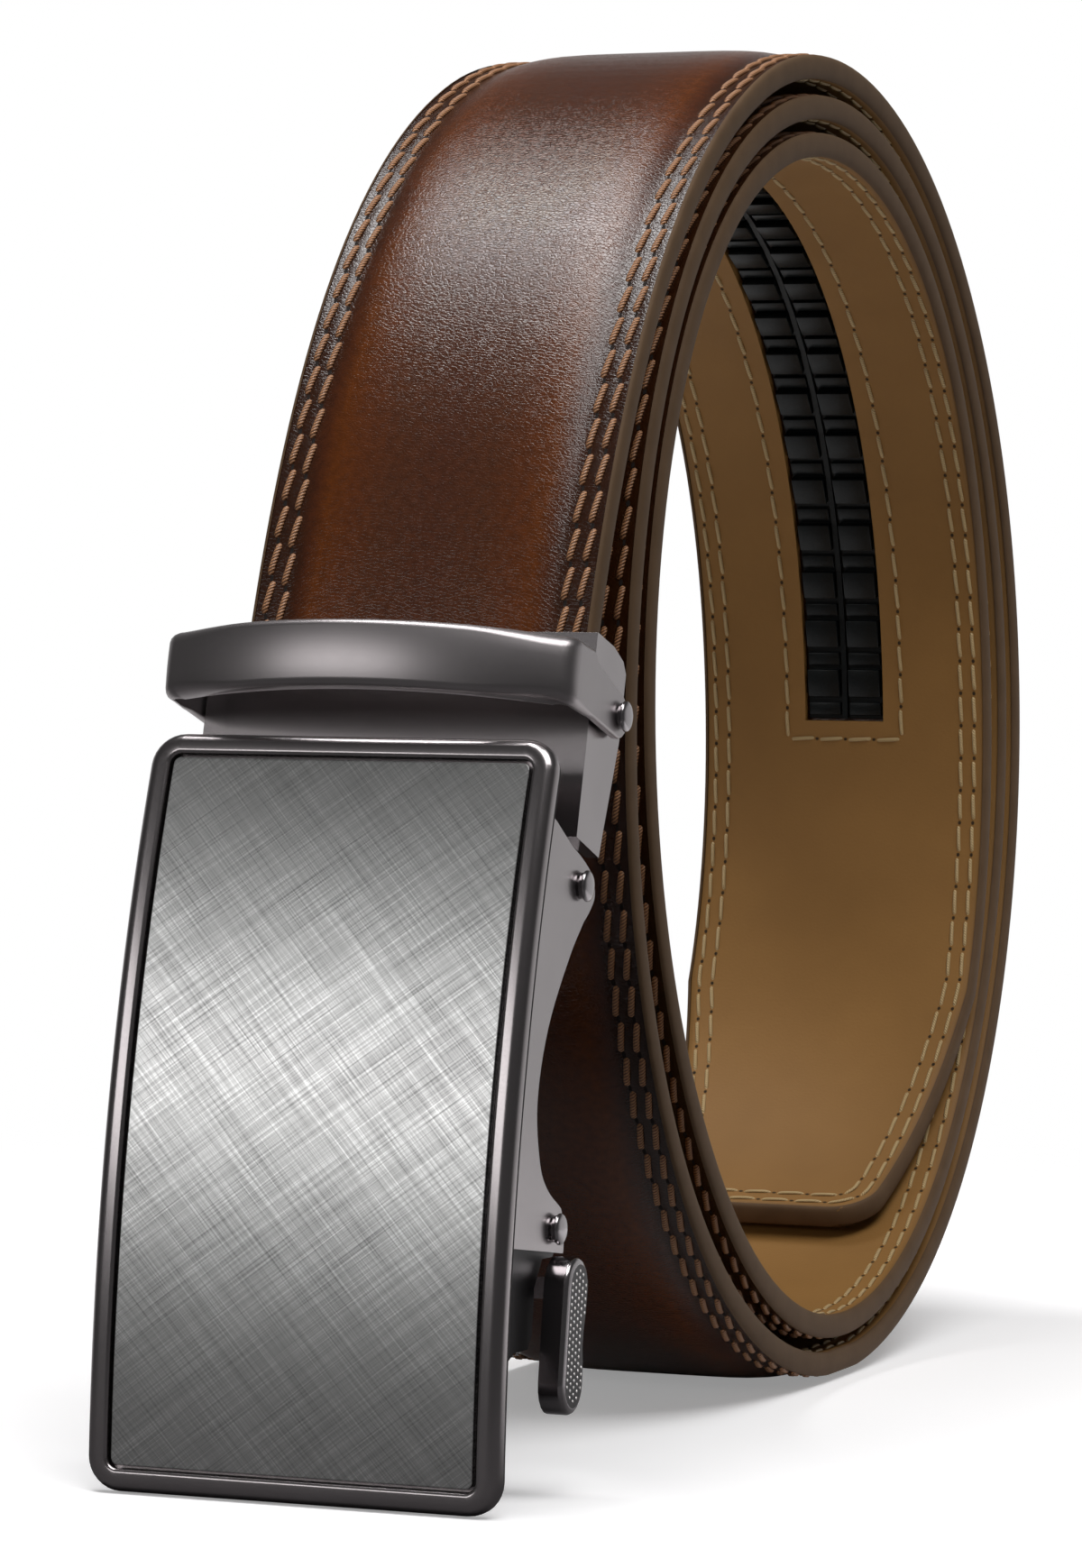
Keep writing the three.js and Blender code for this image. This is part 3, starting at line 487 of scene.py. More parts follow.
leatherMaterial = strapLeatherMaterial()
paintMaterial = edgePaintMaterial()
splitMaterial = liningMaterial()
# each thread's dark and light colours are the painted shade and painted highlight of its plies
outerThread = threadMaterial("cognac_thread", "#5f3d26", "#b5825a")
innerThread = threadMaterial("tan_thread", "#9c8052", "#cdb383")
needleHole = holeMaterial("needle_hole", "#0e0704", "#1c0f08")
liningHole = holeMaterial("lining_needle_hole", "#2c2010", "#423018")
nylon = trackMaterial()
gunmetal = gunmetalMaterial("satin_gunmetal", "#9c9697", "#a39d9e", 0.24)
blasted = gunmetalMaterial("blasted_gunmetal", "#9c9697", "#a39d9e", 0.36)
polished = gunmetalMaterial("polished_gunmetal", "#a19c9e", "#aaa5a7", 0.2)
# pale: painted highlight on the lever's knurl dots
knurlHighlight = gunmetalMaterial("knurl_highlight_nickel", "#d6d3d1", "#e2dfdd", 0.28)
# nearly black: painted shade for the wall's pocket and the lever's knurled ground
pocketShade = gunmetalMaterial("pocket_shade_gunmetal", "#2e2c2d", "#383637", 0.4)
steel = brushedMaterial()
print("materials made")


# Strap

def strapGrid(gaps, rows, thickness):
    # A flat sheet of the strap: columns at distances from the edge, rows at distances along it
    bm = bmesh.new()
    columns = len(gaps) * 2 - 1
    bmesh.ops.create_grid(bm, x_segments=columns - 1, y_segments=len(rows) - 1, size=0.5)
    for vert in bm.verts:
        i = round((vert.co.x + 0.5) * (columns - 1))
        j = round((vert.co.y + 0.5) * (len(rows) - 1))
        gap = gaps[min(i, columns - 1 - i)]
        half = float(halfWidth(rows[j]))
        margin = strap["margin"]
        if gap > margin:
            side = (half - margin) * (strap["halfWidth"] - gap) / (strap["halfWidth"] - margin)
        else:
            side = half - gap
        vert.co = (side if i > len(gaps) - 1 else -side, rows[j], thickness)
    return bm


def edgeDistance(side, along):
    taper = math.cos(math.atan((strap["halfWidth"] - strap["tipHalf"]) / strap["taper"]))
    slope = np.where(along > strapLength - strap["taper"], taper, 1.0)
    return np.minimum((halfWidth(along) - np.abs(side)) * slope, strapLength - along)


def rowsAlong(step, extra=()):
    tip = [strapLength - gap for gap in (0.35, 0.7, 1.2, 1.6, 2, 2.4, 2.8, 3.2, 3.6, 4, 4.4, 5.2, 6.5, 8)]
    even = list(np.arange(0, strapLength - 9, step))
    return sorted([*even, *tip, *extra])


def makeSheet(bm, added, rises, name, material, node):
    # Thickens a flat sheet, whose added side is at 0 or 1 until both are bent onto the strap's course
    grown = bmesh.ops.extrude_face_region(bm, geom=bm.faces[:], use_keep_orig=True)
    for vert in newVerts(grown):
        vert.co.z = added
    faceOut(bm)
    flat = np.array([vert.co for vert in bm.verts])
    gap = edgeDistance(flat[:, 0], flat[:, 1])
    upper, lower = rises(gap)

    def place(points):
        rise = np.where(points[:, 2] > 0.5, upper, lower)
        return onStrap(np.column_stack([points[:, :2], rise]))

    piece = finishPiece(bm, name, [material], "belt", [node], place, sharpAngle=60)
    keepPlace(piece.data, "strapPlace", np.column_stack([flat[:, :2], gap]))


def makeLeather():
    gaps = [0.35, 0.6, 0.9, 1.25, 1.6, 1.95, 2.4, 2.85, 3.2, 3.55, 3.9, 4.2, 4.7, 5.4, 6.4, 8, 10, 12.5,
            15, strap["halfWidth"]]
    makeSheet(strapGrid(gaps, rowsAlong(2.5), 1.0), 0.0,
              lambda gap: (crownRise(gap), strap["leatherUnder"]),
              "outer_leather", leatherMaterial, "strap_leather")


def makeLining():
    window = strap["windowHalf"]
    ends = [trackStart - strap["windowGap"], trackEnd + strap["windowGap"]]
    gaps = [0.35, 0.7, 1.6, 3.2, 5.2, 8, 10.5, strap["halfWidth"] - window, 15, strap["halfWidth"]]
    bm = strapGrid(gaps, rowsAlong(2.8, ends), 0.0)
    opening = []
    for face in bm.faces:
        middle = face.calc_center_median()
        if abs(middle.x) < window and ends[0] < middle.y < ends[1]:
            opening.append(face)
    bmesh.ops.delete(bm, geom=opening, context="FACES")

    def rises(gap):
        rounded = 0.3 * np.clip(1 - (gap - 0.35) / 0.4, 0, 1) ** 2
        return strap["liningTop"], strap["inside"] + rounded

    makeSheet(bm, 1.0, rises, "tan_lining", splitMaterial, "strap_lining")


def outline(inset):  # the strap's edge from the clamp round the tip, moved inwards: (s, side, along, out)
    corner = strap["tipCorner"]
    along = np.concatenate([
        np.arange(0, strapLength - strap["taper"], 2.0),
        np.arange(strapLength - strap["taper"], strapLength - corner, 1.5),
        strapLength - corner + corner * np.sin(np.radians(np.linspace(0, 90, 13)))])
    right = np.column_stack([halfWidth(along), along])
    tipHalf = right[-1, 0]
    across = np.linspace(tipHalf, -tipHalf, 12)[1:-1]
    tip = np.column_stack([across, np.full(len(across), strapLength)])
    left = right[::-1] * [-1, 1]
    path = np.vstack([right, tip, left])
    before, after = np.roll(path, 1, 0), np.roll(path, -1, 0)
    before[0], after[-1] = path[0] - [0, 1], path[-1] - [0, 1]
    tangent = after - before
    tangent /= np.linalg.norm(tangent, axis=1)[:, None]
    out = np.column_stack([tangent[:, 1], -tangent[:, 0]])
    moved = path - out * inset
    run = np.concatenate([[0], np.cumsum(np.linalg.norm(np.diff(moved, axis=0), axis=1))])
    return run, moved, out


def alongOutline(inset):  # (s, sideways, rise) beside the edge to (side, along, rise)
    run, path, out = outline(inset)

    def place(points):
        s = points[:, 0]
        spot = np.column_stack([np.interp(s, run, row) for row in path.T])
        normal = np.column_stack([np.interp(s, run, row) for row in out.T])
        normal /= np.linalg.norm(normal, axis=1)[:, None]
        return np.column_stack([spot + normal * points[:, 1:2], points[:, 2]])
    return run[-1], place


def makeEdgePaint():
    paint = {"middle": -1.98, "halfHeight": 1.27, "bulge": 0.55, "sides": 10}
    run, path = outline(0.0)[:2]
    nearTip = np.abs(path[:, 1] - strapLength) < strap["taper"] + strap["tipCorner"]
    steps = np.concatenate([np.arange(0, run[-1], 2.6), run[nearTip], run[-1:]])
    steps = sorted(set(np.round(steps, 3)))
    bm = bmesh.new()
    bmesh.ops.create_grid(bm, x_segments=len(steps) - 1, y_segments=paint["sides"], size=0.5)
    for vert in bm.verts:
        i = round((vert.co.x + 0.5) * (len(steps) - 1))
        turn = math.pi * (vert.co.y)
        out = paint["bulge"] * (math.cos(turn) ** 0.75 - 1) if abs(turn) < 1.57 else -paint["bulge"]
        vert.co = (steps[i], out, paint["middle"] + paint["halfHeight"] * math.sin(turn))
    bmesh.ops.reverse_faces(bm, faces=bm.faces[:])
    along = alongOutline(0.0)[1]
    return finishPiece(bm, "edge_paint", [paintMaterial], "belt", ["strap_leather", "strap_lining"],
                       lambda points: onStrap(along(points)), sharpAngle=180)


def stitchRow(length, thread, face):
    # One stitch with the needle hole behind it, doubled until the row is full. Along x, face is 1
    # on the outside and -1 on the lining
    pitch, dip = stitching["pitch"], thread["width"] * 0.5
    around, lengthwise = 6, 8
    bm = bmesh.new()
    bm.loops.layers.uv.new("ply")
    bmesh.ops.create_grid(bm, x_segments=lengthwise, y_segments=around, size=0.5, calc_uvs=True)
    for vert in bm.verts:
        t = vert.co.x + 0.5
        turn = 2 * math.pi * vert.co.y
        full = max(1 - abs(2 * t - 1) ** 8, 0.05) ** 0.5
        wide, tall = thread["width"] / 2 * full, thread["width"] * 0.36 * full
        sink = dip * abs(2 * t - 1) ** 4
        slant = thread["slant"] * (t - 0.5)
        across = wide * math.cos(turn)
        level = tall * math.sin(turn) + tall * 0.55 - sink
        vert.co = (t * thread["length"], across + slant, face * level)
    weld(bm, 0.004)
    faceOut(bm)
    # the needle hole is a flat dark disc on the surface: painted shadow of the hole
    hole = bmesh.ops.create_circle(bm, cap_ends=True, segments=6, radius=1.0)["verts"]
    middle = (pitch + thread["length"]) / 2
    for vert in hole:
        vert.co = (middle + vert.co.x * thread["hole"], vert.co.y * thread["hole"] * 0.8, face * 0.02)
    for pit in {f for v in hole for f in v.link_faces}:
        pit.material_index = 1
        pit.normal_update()
        if pit.normal.z * face < 0:
            pit.normal_flip()
    repeatBy(bm, (pitch, 0, 0), length / pitch)
    last = int(length / pitch) * pitch
    deleteVerts(bm, lambda co: co.x > last)
    return bm


def placeRow(bm, place, level):  # bends a straight row onto the strap's sheet
    points = np.array([vert.co for vert in bm.verts])
    for vert, point in zip(bm.verts, place(points)):
        vert.co = (point[0], point[1], point[2] + level)


def joinRows(rows):
    whole = bmesh.new()
    for bm in rows:
        mesh = toMesh(bm, "row")
        whole.from_mesh(mesh)
        bpy.data.meshes.remove(mesh)
    return whole


def makeStitches():
    margin = -strap["crown"] - stitching["groove"]
    for name, thread, face, level, materials in (
            ("outer_stitches", stitching["outer"], 1, margin, [outerThread, needleHole]),
            ("lining_stitches", stitching["inner"], -1, strap["inside"], [innerThread, liningHole])):
        rows = []
        for inset in stitching["rows"]:
            length, place = alongOutline(inset)
            bm = stitchRow(length, thread, face)
            placeRow(bm, place, level)
            rows.append(bm)
        if face < 0:
            rows.append(windowStitches(thread, level))
        node = "strap_leather" if face > 0 else "strap_lining"
        finishPiece(joinRows(rows), name, materials, "belt", [node], onStrap, 180)


def windowStitches(thread, level):  # the row round the track's window
    off = stitching["windowRow"]
    side = strap["windowHalf"] + off
    low, high = trackStart - strap["windowGap"] - off, trackEnd + strap["windowGap"] + off
    path = np.array([(side, low), (side, high), (-side, high), (-side, low), (side, low)])
    rows = []
    for start, end in zip(path, path[1:]):
        run = np.linalg.norm(end - start)
        fit = round(run / stitching["pitch"]) * stitching["pitch"]
        ahead = (end - start) / run
        out = np.array([ahead[1], -ahead[0]])
        bm = stitchRow(fit + 0.1, thread, -1)
        placeRow(bm, lambda p: np.column_stack([
            start + ahead * p[:, :1] * run / fit + out * p[:, 1:2], p[:, 2]]), level)
        rows.append(bm)
    return joinRows(rows)


def makeTrack():
    track = {"half": 4.5, "base": -2.12, "root": -2.35, "tooth": 1.05, "rib": 0.3, "gap": 0.55,
             "bevel": 0.14}
    pitch = strap["toothPitch"]
    bm = bmesh.new()

    def block(x0, x1, y0, y1, z0, z1, z2, bevel):  # z1 at its start, z2 at its end
        verts = bmesh.ops.create_cube(bm, size=1.0)["verts"]
        for vert in verts:
            top = z1 if vert.co.y < 0 else z2
            vert.co = (x0 if vert.co.x < 0 else x1, y0 if vert.co.y < 0 else y1,
                       z0 if vert.co.z > 0 else top)
        if bevel:
            edges = {e for v in verts for e in v.link_edges}
            bevelEdges(bm, edges, bevel, 2)

    root, tooth = track["root"], track["tooth"]
    block(-track["half"], track["half"], 0, pitch, track["base"], root, root, 0)
    block(-track["rib"], track["rib"], 0.0, pitch, root + 0.1, root - tooth * 0.45, root - tooth * 0.45, 0)
    for side in (-1, 1):
        x0, x1 = sorted((side * track["gap"], side * (track["half"] - 0.1)))
        block(x0, x1, 0.05, pitch * 0.56, root + 0.2, root - tooth, root - tooth * 0.7, track["bevel"])
        block(x0, x1, pitch * 0.68, pitch * 0.93, root + 0.2, root - tooth * 0.5, root - tooth * 0.4,
              track["bevel"] * 0.8)
    faceOut(bm)
    repeatBy(bm, (0, pitch, 0), strap["toothCount"])
    deleteVerts(bm, lambda co: co.y > strap["toothCount"] * pitch + 0.01)
    bmesh.ops.translate(bm, verts=bm.verts[:], vec=(0, trackStart, 0))
    return finishPiece(bm, "toothed_track", [nylon], "belt", ["ratchet_track"], onStrap, 40)


makeLeather()
makeLining()
makeEdgePaint()
makeStitches()
makeTrack()
print("strap made")


# Buckle

plate = {
    "halfWidth": 20.1,
    "corner": 3.2,
    "thickness": 1.8,
    "rounding": 1.25,
    "rim": 2.2,
    "recess": 1.3,
    "groove": 0.3,
    "inlayFront": 0.3,
    "inlayBack": 1.0,
}
wall = {
    "inside": 17.9,
    "outside": 19.3,
    "recess": 0.9,
    "foot": 12.02,
    "pawlAlong": 26.28,
    "pawlDeep": 13.9,
    "earRadius": 3.7,
    "leverBelow": 2.6,
    "bevel": 0.22,
}
hingeEar = [(1.03, -2.24), (.78, -1), (.7, -.14), (.49, .68), (.03, 1), (-.43, .81), (-.86, .46)]
pawlEar = [(1, -.68), (.57, .38), (.19, .62), (-.51, .73), (-.73, .62), (-.81, -.08)]
wallScallop = [(.78, .93), (.55, .65), (.34, .57), (.18, .71)]
wallTail = [(.72, .86), (.33, .86), (.22, .79), (.2, .55), (.09, .36), (0, .28)]


def roundedPlate(halfX, halfY, corner, profile):
    # A loop with round corners, drawn on through (inset, deep) and closed at both ends
    bm = bmesh.new()
    coreX, coreY = halfX - corner, halfY - corner
    verts = []
    for quarter, (sx, sy) in enumerate(((1, 1), (-1, 1), (-1, -1), (1, -1))):
        for step in range(9):
            angle = math.radians(90 * quarter + 90 * step / 8)
            verts.append(bm.verts.new((sx * coreX + corner * math.cos(angle),
                                       sy * coreY + corner * math.sin(angle), profile[0][1])))
    edges = [bm.edges.new((a, b)) for a, b in zip(verts, verts[1:] + verts[:1])]
    bm.faces.new(verts)
    for inset, deep in profile[1:]:
        drawn = bmesh.ops.extrude_edge_only(bm, edges=edges)
        edges = [g for g in drawn["geom"] if isinstance(g, bmesh.types.BMEdge)]
        loop = set(newVerts(drawn))
        edges = [e for e in edges if e.verts[0] in loop and e.verts[1] in loop]
        for vert in loop:
            core = Vector((min(max(vert.co.x, -coreX), coreX), min(max(vert.co.y, -coreY), coreY)))
            way = (vert.co.xy - core).normalized()
            spot = core + way * (corner - inset)
            vert.co = (spot.x, spot.y, deep)
    bmesh.ops.contextual_create(bm, geom=edges)
    faceOut(bm)
    return bm


def sliceAlong(bm, halfY, step):  # cuts across, so that the piece can follow the arch
    for y in np.arange(-halfY + step / 2, halfY, step):
        bmesh.ops.bisect_plane(bm, geom=bm.verts[:] + bm.edges[:] + bm.faces[:],
                               plane_co=(0, y, 0), plane_no=(0, 1, 0))
    bmesh.ops.translate(bm, verts=bm.verts[:], vec=(0, buckle["plateLength"] / 2, 0))


def roundAxis(rows, along, deep):
    return [(along + up * wall["earRadius"], deep + back * wall["earRadius"]) for up, back in rows]


def wallOutline():
    inFrame = plate["thickness"] / 2
    top = buckle["hingeAlong"] + wall["earRadius"] * 1.08
    pawlAlong, pawlDeep = wall["pawlAlong"], wall["pawlDeep"]
    span = buckle["hingeAlong"] - pawlAlong
    scallop = [(pawlAlong + span * way, buckle["hingeDeep"] * depth) for way, depth in wallScallop]
    reach = pawlAlong - wall["leverBelow"] - wall["foot"]
    tail = [(wall["foot"] + reach * way, pawlDeep * depth) for way, depth in wallTail]
    upper = roundAxis(hingeEar, buckle["hingeAlong"], buckle["hingeDeep"])
    lower = roundAxis(pawlEar, pawlAlong, pawlDeep)
    ear = throughPoints(upper[1:], 4)
    curve = throughPoints([upper[-1], *scallop, *lower[:2]], 6)
    end = throughPoints(lower[1:5], 3)
    points = [(top, inFrame), upper[0], *ear, *curve[1:], *end[1:], lower[5], *tail]
    points.append((wall["foot"], inFrame))
    for share in (0.2, 0.4, 0.6, 0.8):
        points.append((wall["foot"] + (top - wall["foot"]) * share, inFrame))
    return points


def slabAcross(bm, outlinePoints, inner, outer, bevel, side=1):  # a plate between two values of x
    verts = [bm.verts.new((inner * side, along, deep)) for along, deep in outlinePoints]
    face = bm.faces.new(verts)
    outerSet = set(newVerts(bmesh.ops.extrude_face_region(bm, geom=[face], use_keep_orig=True)))
    for vert in outerSet:
        vert.co.x = outer * side
    rim = [e for e in bm.edges if e.verts[0] in outerSet and e.verts[1] in outerSet
           and len(e.link_faces) == 2]
    if bevel:
        bevelEdges(bm, rim, bevel, 3, clamp_overlap=True)
    return outerSet


def makeFrame():
    halfY = buckle["plateLength"] / 2
    r = plate["rounding"]
    turns = [math.radians(a) for a in (0, 15, 30, 45, 60, 75, 90)]
    edge = [(r * (1 - math.cos(t)), r * (1 - math.sin(t))) for t in turns]
    rim, recess = plate["rim"], plate["recess"]
    profile = [(0.4, plate["thickness"]), (0.1, plate["thickness"] - 0.1),
               (0.0, plate["thickness"] - 0.35), *edge, (rim - 0.4, 0.02), (rim - 0.2, 0.07),
               (rim - 0.06, 0.2), (rim, 0.4), (rim, recess)]
    bm = roundedPlate(plate["halfWidth"], halfY, plate["corner"], profile)
    sliceAlong(bm, halfY, 1.6)
    rows = wallOutline()
    top = wall["pawlAlong"] - wall["leverBelow"] + 0.3
    step = wall["outside"] - wall["recess"]
    slabAcross(bm, rows, wall["inside"], wall["outside"], wall["bevel"], side=-1)
    pocket = slabAcross(bm, rows, wall["inside"], step, 0)
    # the pocket's floor gets the painted shade
    for face in bm.faces:
        if all(vert in pocket for vert in face.verts):
            face.material_index = 1
    upper = [p for p in rows if p[0] > top]
    first = upper[:next(i for i, p in enumerate(upper) if p[1] < 6 and i > 4)]
    upper = [*first, (top, first[-1][1]), (top, plate["thickness"] / 2), *upper[len(first):]]
    slabAcross(bm, upper, step - 0.02, wall["outside"], wall["bevel"])
    faceOut(bm)
    return finishPiece(bm, "plate_frame", [gunmetal, pocketShade], "face", ["face_frame"],
                       onPlate, flat=True)


def makeInlay():
    inset = plate["rim"] + plate["groove"]
    halfY = buckle["plateLength"] / 2 - inset
    front, back = plate["inlayFront"], plate["inlayBack"]
    profile = [(0.0, back), (0.0, front + 0.12), (0.04, front + 0.04), (0.14, front)]
    bm = roundedPlate(plate["halfWidth"] - inset, halfY, plate["corner"] - inset, profile)
    sliceAlong(bm, halfY, 1.6)
    flat = np.array([vert.co for vert in bm.verts])
    piece = finishPiece(bm, "brushed_inlay", [steel], "face", ["face_inlay"], onPlate,
                        flat=True)
    keepPlace(piece.data, "platePlace", flat)
    return piece


def cadCopy(name, node, body, material, bevel, angle=30):
    # A merged copy of a CAD node with its hard edges broken
    bm = bmesh.new()
    bm.from_mesh(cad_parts[node].data)
    weld(bm, 3e-6)
    bmesh.ops.dissolve_limit(bm, angle_limit=math.radians(0.6), verts=bm.verts[:], edges=bm.edges[:])
    piece = finishPiece(bm, name, [material], body, [node], sharpAngle=angle)
    modifier = piece.modifiers.new("broken edges", "BEVEL")
    modifier.width = bevel * 0.001
    modifier.segments = 3
    modifier.limit_method = "ANGLE"
    modifier.angle_limit = math.radians(angle)
    modifier.harden_normals = True
    return piece


keeper = {
    "rivetUp": 12.7,
    "rivetDeep": 4.9,
    "middle": 13.8,  # of the bar, up the bracket
    "half": 3.15,
    "reach": 13.8,
    "bow": 4.6,
    "corner": 2.4,
    "outside": 20.5,
    "cheek": 0.9,
    "bar": 2.2,
    "end": 2.1,
    "bulge": 0.28,
    "tilt": 0.22,  # the face leans forward at its top
    "rounding": 0.75,
}


def keeperPath():  # plan: (x, in front of the rivets, normal x, normal ahead, share of the bar)
    flat = keeper["outside"] - keeper["corner"]
    rows = []
    for ahead in (-2.08, -1.95, -1.6, -1.1, -0.5, 0, 1.5, 3, 4.5, 5.8, 6.9, 8, 9.3, 10.4):
        rows.append((keeper["outside"], ahead, 1, 0, 0))
    first = math.degrees(math.atan(2 * keeper["bow"] / flat))
    for angle in np.linspace(90, first, 9):
        way = np.array([math.sin(math.radians(angle)), math.cos(math.radians(angle))])
        spot = np.array([flat, keeper["reach"] - keeper["corner"]]) + way * keeper["corner"]
        rows.append((*spot, *way, (90 - angle) / (90 - first)))
    x1, ahead1 = rows[-1][:2]
    for share in np.linspace(0, 1, 13)[1:]:
        x = x1 * (1 - share)
        slope = 2 * keeper["bow"] * (x / x1) / flat
        spot = ahead1 + (keeper["bow"] - ahead1 + keeper["reach"]) * (1 - (x / x1) ** 2)
        way = np.array([slope, 1]) / math.hypot(slope, 1)
        rows.append((x, spot, *way, 1))
    return rows + [(-x, ahead, -nx, ny, bar) for x, ahead, nx, ny, bar in reversed(rows[:-1])]


def makeKeeper():  # one section drawn along the plan: bar in front, a slanting cheek at each side
    half, middle, up, end = keeper["half"], keeper["middle"], keeper["rivetUp"], keeper["end"]
    bm = bmesh.new()
    loops = []
    for x, ahead, nx, ny, bar in keeperPath():
        if ahead < 0:
            reach = math.sqrt(end ** 2 - ahead ** 2)
            low, high = up - reach, up + reach
        else:
            low = float(np.interp(ahead, [0, 6.9, 8.56], [up - end, up - end * 0.9, middle - half]))
            high = float(np.interp(ahead, [0, 6.9, 8.0], [up + end, middle + half * 0.7, middle + half]))
        tall = (high - low) / 2
        thick = keeper["cheek"] + (keeper["bar"] - keeper["cheek"]) * bar
        corner = min(max((abs(x) - 12) / 6, 0), 1) * min(max((ahead - 7) / 3, 0), 1)
        r = min(0.25 + (keeper["rounding"] - 0.25) * bar + 0.6 * corner, tall * 0.6)
        lip = min(0.2, tall * 0.3)
        edge = [(tall - r * (1 - math.cos(turn)), r * math.sin(turn) - r)
                for turn in np.radians([0, 22.5, 45, 67.5, 90])]
        section = [(-tall, lip - thick), (lip - tall, -thick), (tall - lip, -thick), (tall, lip - thick),
                   *edge, *(((tall - r) * share, 0) for share in (0.5, 0, -0.5)),
                   *((-rise, out) for rise, out in reversed(edge))]
        loop = []
        for rise, out in section:
            if out > -r - 0.001:
                out += bar * (keeper["tilt"] - keeper["bulge"] * rise / tall) * rise / tall
            side = onBracket((low + high) / 2 + rise, keeper["rivetDeep"] - ahead - ny * out)
            loop.append(bm.verts.new((x + nx * out, *side)))
        loops.append(loop)
    for one, two in zip(loops, loops[1:]):
        for i in range(len(one)):
            j = (i + 1) % len(one)
            bm.faces.new((one[i], one[j], two[j], two[i]))
    bm.faces.new(loops[0])
    bm.faces.new(loops[-1])
    faceOut(bm)
    return finishPiece(bm, "keeper_bar", [blasted], "keeper", ["keeper_loop"], lambda p: p, 50,
                       flat=True)


def spunPin(bm, centre, profile, side=1):
    # Rows of (x, radius) turned about the pin's axis
    verts = [bm.verts.new((side * x, centre[0] + radius, centre[1])) for x, radius in profile]
    edges = [bm.edges.new(pair) for pair in zip(verts, verts[1:])]
    bmesh.ops.spin(bm, geom=verts + edges, cent=(0, centre[0], centre[1]), axis=(1, 0, 0),
                   angle=2 * math.pi, steps=32, use_merge=True, use_duplicate=False)


pins = {"shank": 0.9, "neck": 0.86, "head": 1.45, "headHeight": 0.9, "seatGap": 0.15}


def domedHead(seat):  # from the shank over the dome to the axis
    foot = seat + pins["seatGap"]
    radius, rise = pins["head"], pins["headHeight"]
    neck = radius * pins["neck"]
    side = foot + rise * 0.5
    rows = [(foot, pins["shank"] * 0.9), (foot, neck), (side - 0.2, neck), (side - 0.17, radius - 0.05),
            (side - 0.1, radius), (side, radius)]
    for turn in np.radians([15, 30, 45, 60, 75, 90]):
        rows.append((side + rise * 0.5 * math.sin(turn), radius * math.cos(turn)))
    return rows


def makePins():
    onWall, onCheek = (15.9, wall["outside"]), (wall["inside"], keeper["outside"])
    for name, node, side, (inner, seat) in (
            ("hinge_pin_right", "hinge_rivet_right", 1, onWall),
            ("hinge_pin_left", "hinge_rivet_left", -1, onWall),
            ("keeper_pin_right", "keeper_rivet_right", 1, onCheek),
            ("keeper_pin_left", "keeper_rivet_left", -1, onCheek)):
        finishPins(name, node, [side], [(inner, 0.0), (inner, pins["shank"])], seat, "belt")
    finishPins("pawl_axle", "pawl_pin", [1, -1], [(0.0, pins["shank"])], wall["outside"], "face")


def finishPins(name, node, sides, start, seat, body):
    bm = bmesh.new()
    for side in sides:
        profile = [*start, (seat + pins["seatGap"], pins["shank"]), *domedHead(seat)[1:]]
        spunPin(bm, centreOf(node)[1:], profile, side)
    weld(bm, 0.001)
    faceOut(bm)
    finishPiece(bm, name, [polished], body, [node], lambda p: p)


lever = {
    "length": 14.3,
    "half": 2.8,
    "inner": 19.2,
    "outer": 21.55,
    "lean": 7.5,
    "setBack": 1.2,
    "bevel": 0.5,
    "neckInner": 16.5,
    "recess": 0.08,
    "lip": 0.12,
    "knurlRow": 0.62,
    "knurlColumn": 0.86,
    "knurlRadius": 0.22,
}


def makeLever():
    top = inPlate(wall["pawlAlong"] - wall["leverBelow"],
                  wall["pawlDeep"] + lever["setBack"]) + plateFoot
    lean = math.radians(lever["lean"])
    down = np.array([-math.sin(lean), -math.cos(lean)])
    back = np.array([-down[1], down[0]])
    length, half = lever["length"], lever["half"]

    def roundEnd(middle, start):
        return [(middle - half * math.sin(angle), -half * math.cos(angle))
                for angle in np.radians(np.linspace(start, start + 180, 11))]

    points = [*roundEnd(half, 0), (length * 0.36, half * 0.93), (length * 0.47, half * 0.84),
              (length * 0.56, half * 0.84), (length * 0.66, half * 0.94), *roundEnd(length - half, 180)]
    bm = bmesh.new()
    outerSet = slabAcross(bm, points, lever["inner"], lever["outer"], 0)
    face = next(f for f in bm.faces if all(v in outerSet for v in f.verts))
    bevelEdges(bm, face.edges, lever["bevel"], 4)
    face = max((f for f in bm.faces if f.calc_center_median().x > lever["outer"] - 0.01),
               key=lambda f: f.calc_area())
    bmesh.ops.inset_region(bm, faces=[face], thickness=lever["lip"], depth=-lever["recess"])
    # the knurled ground between the dots: painted shade
    face.material_index = 1
    faceOut(bm)
    border = [tuple(v.co.yz) for v in face.verts]
    for column in range(-2, 3):
        for row in range(int(length / lever["knurlRow"]) + 1):
            along = (row + 0.5 * (column % 2)) * lever["knurlRow"]
            deep = column * lever["knurlColumn"]
            if insideBy(border, along, deep) < lever["knurlRadius"] + 0.05:
                continue
            dome = bmesh.ops.create_uvsphere(bm, u_segments=6, v_segments=4,
                                             radius=lever["knurlRadius"])["verts"]
            for vert in dome:
                vert.co = (lever["outer"] - 0.06 + vert.co.z, along + vert.co.x, deep + vert.co.y)
            # the knurl dots get the pale painted highlight
            for spot in {f for v in dome for f in v.link_faces}:
                spot.material_index = 2
    neck = [(half * 0.7, half * 0.2), (half * 0.7, half * 0.85), (half * 1.4, half * 0.85),
            (half * 1.4, half * 0.2)]
    slabAcross(bm, neck, lever["neckInner"], lever["inner"] + 0.6, 0)

    def place(p):
        side = top + p[:, 1:2] * down + p[:, 2:3] * back
        return np.column_stack([p[:, 0], side])

    return finishPiece(bm, "thumb_lever", [polished, pocketShade, knurlHighlight], "pawl_lever", ["release_lever"],
                       place, flat=True)


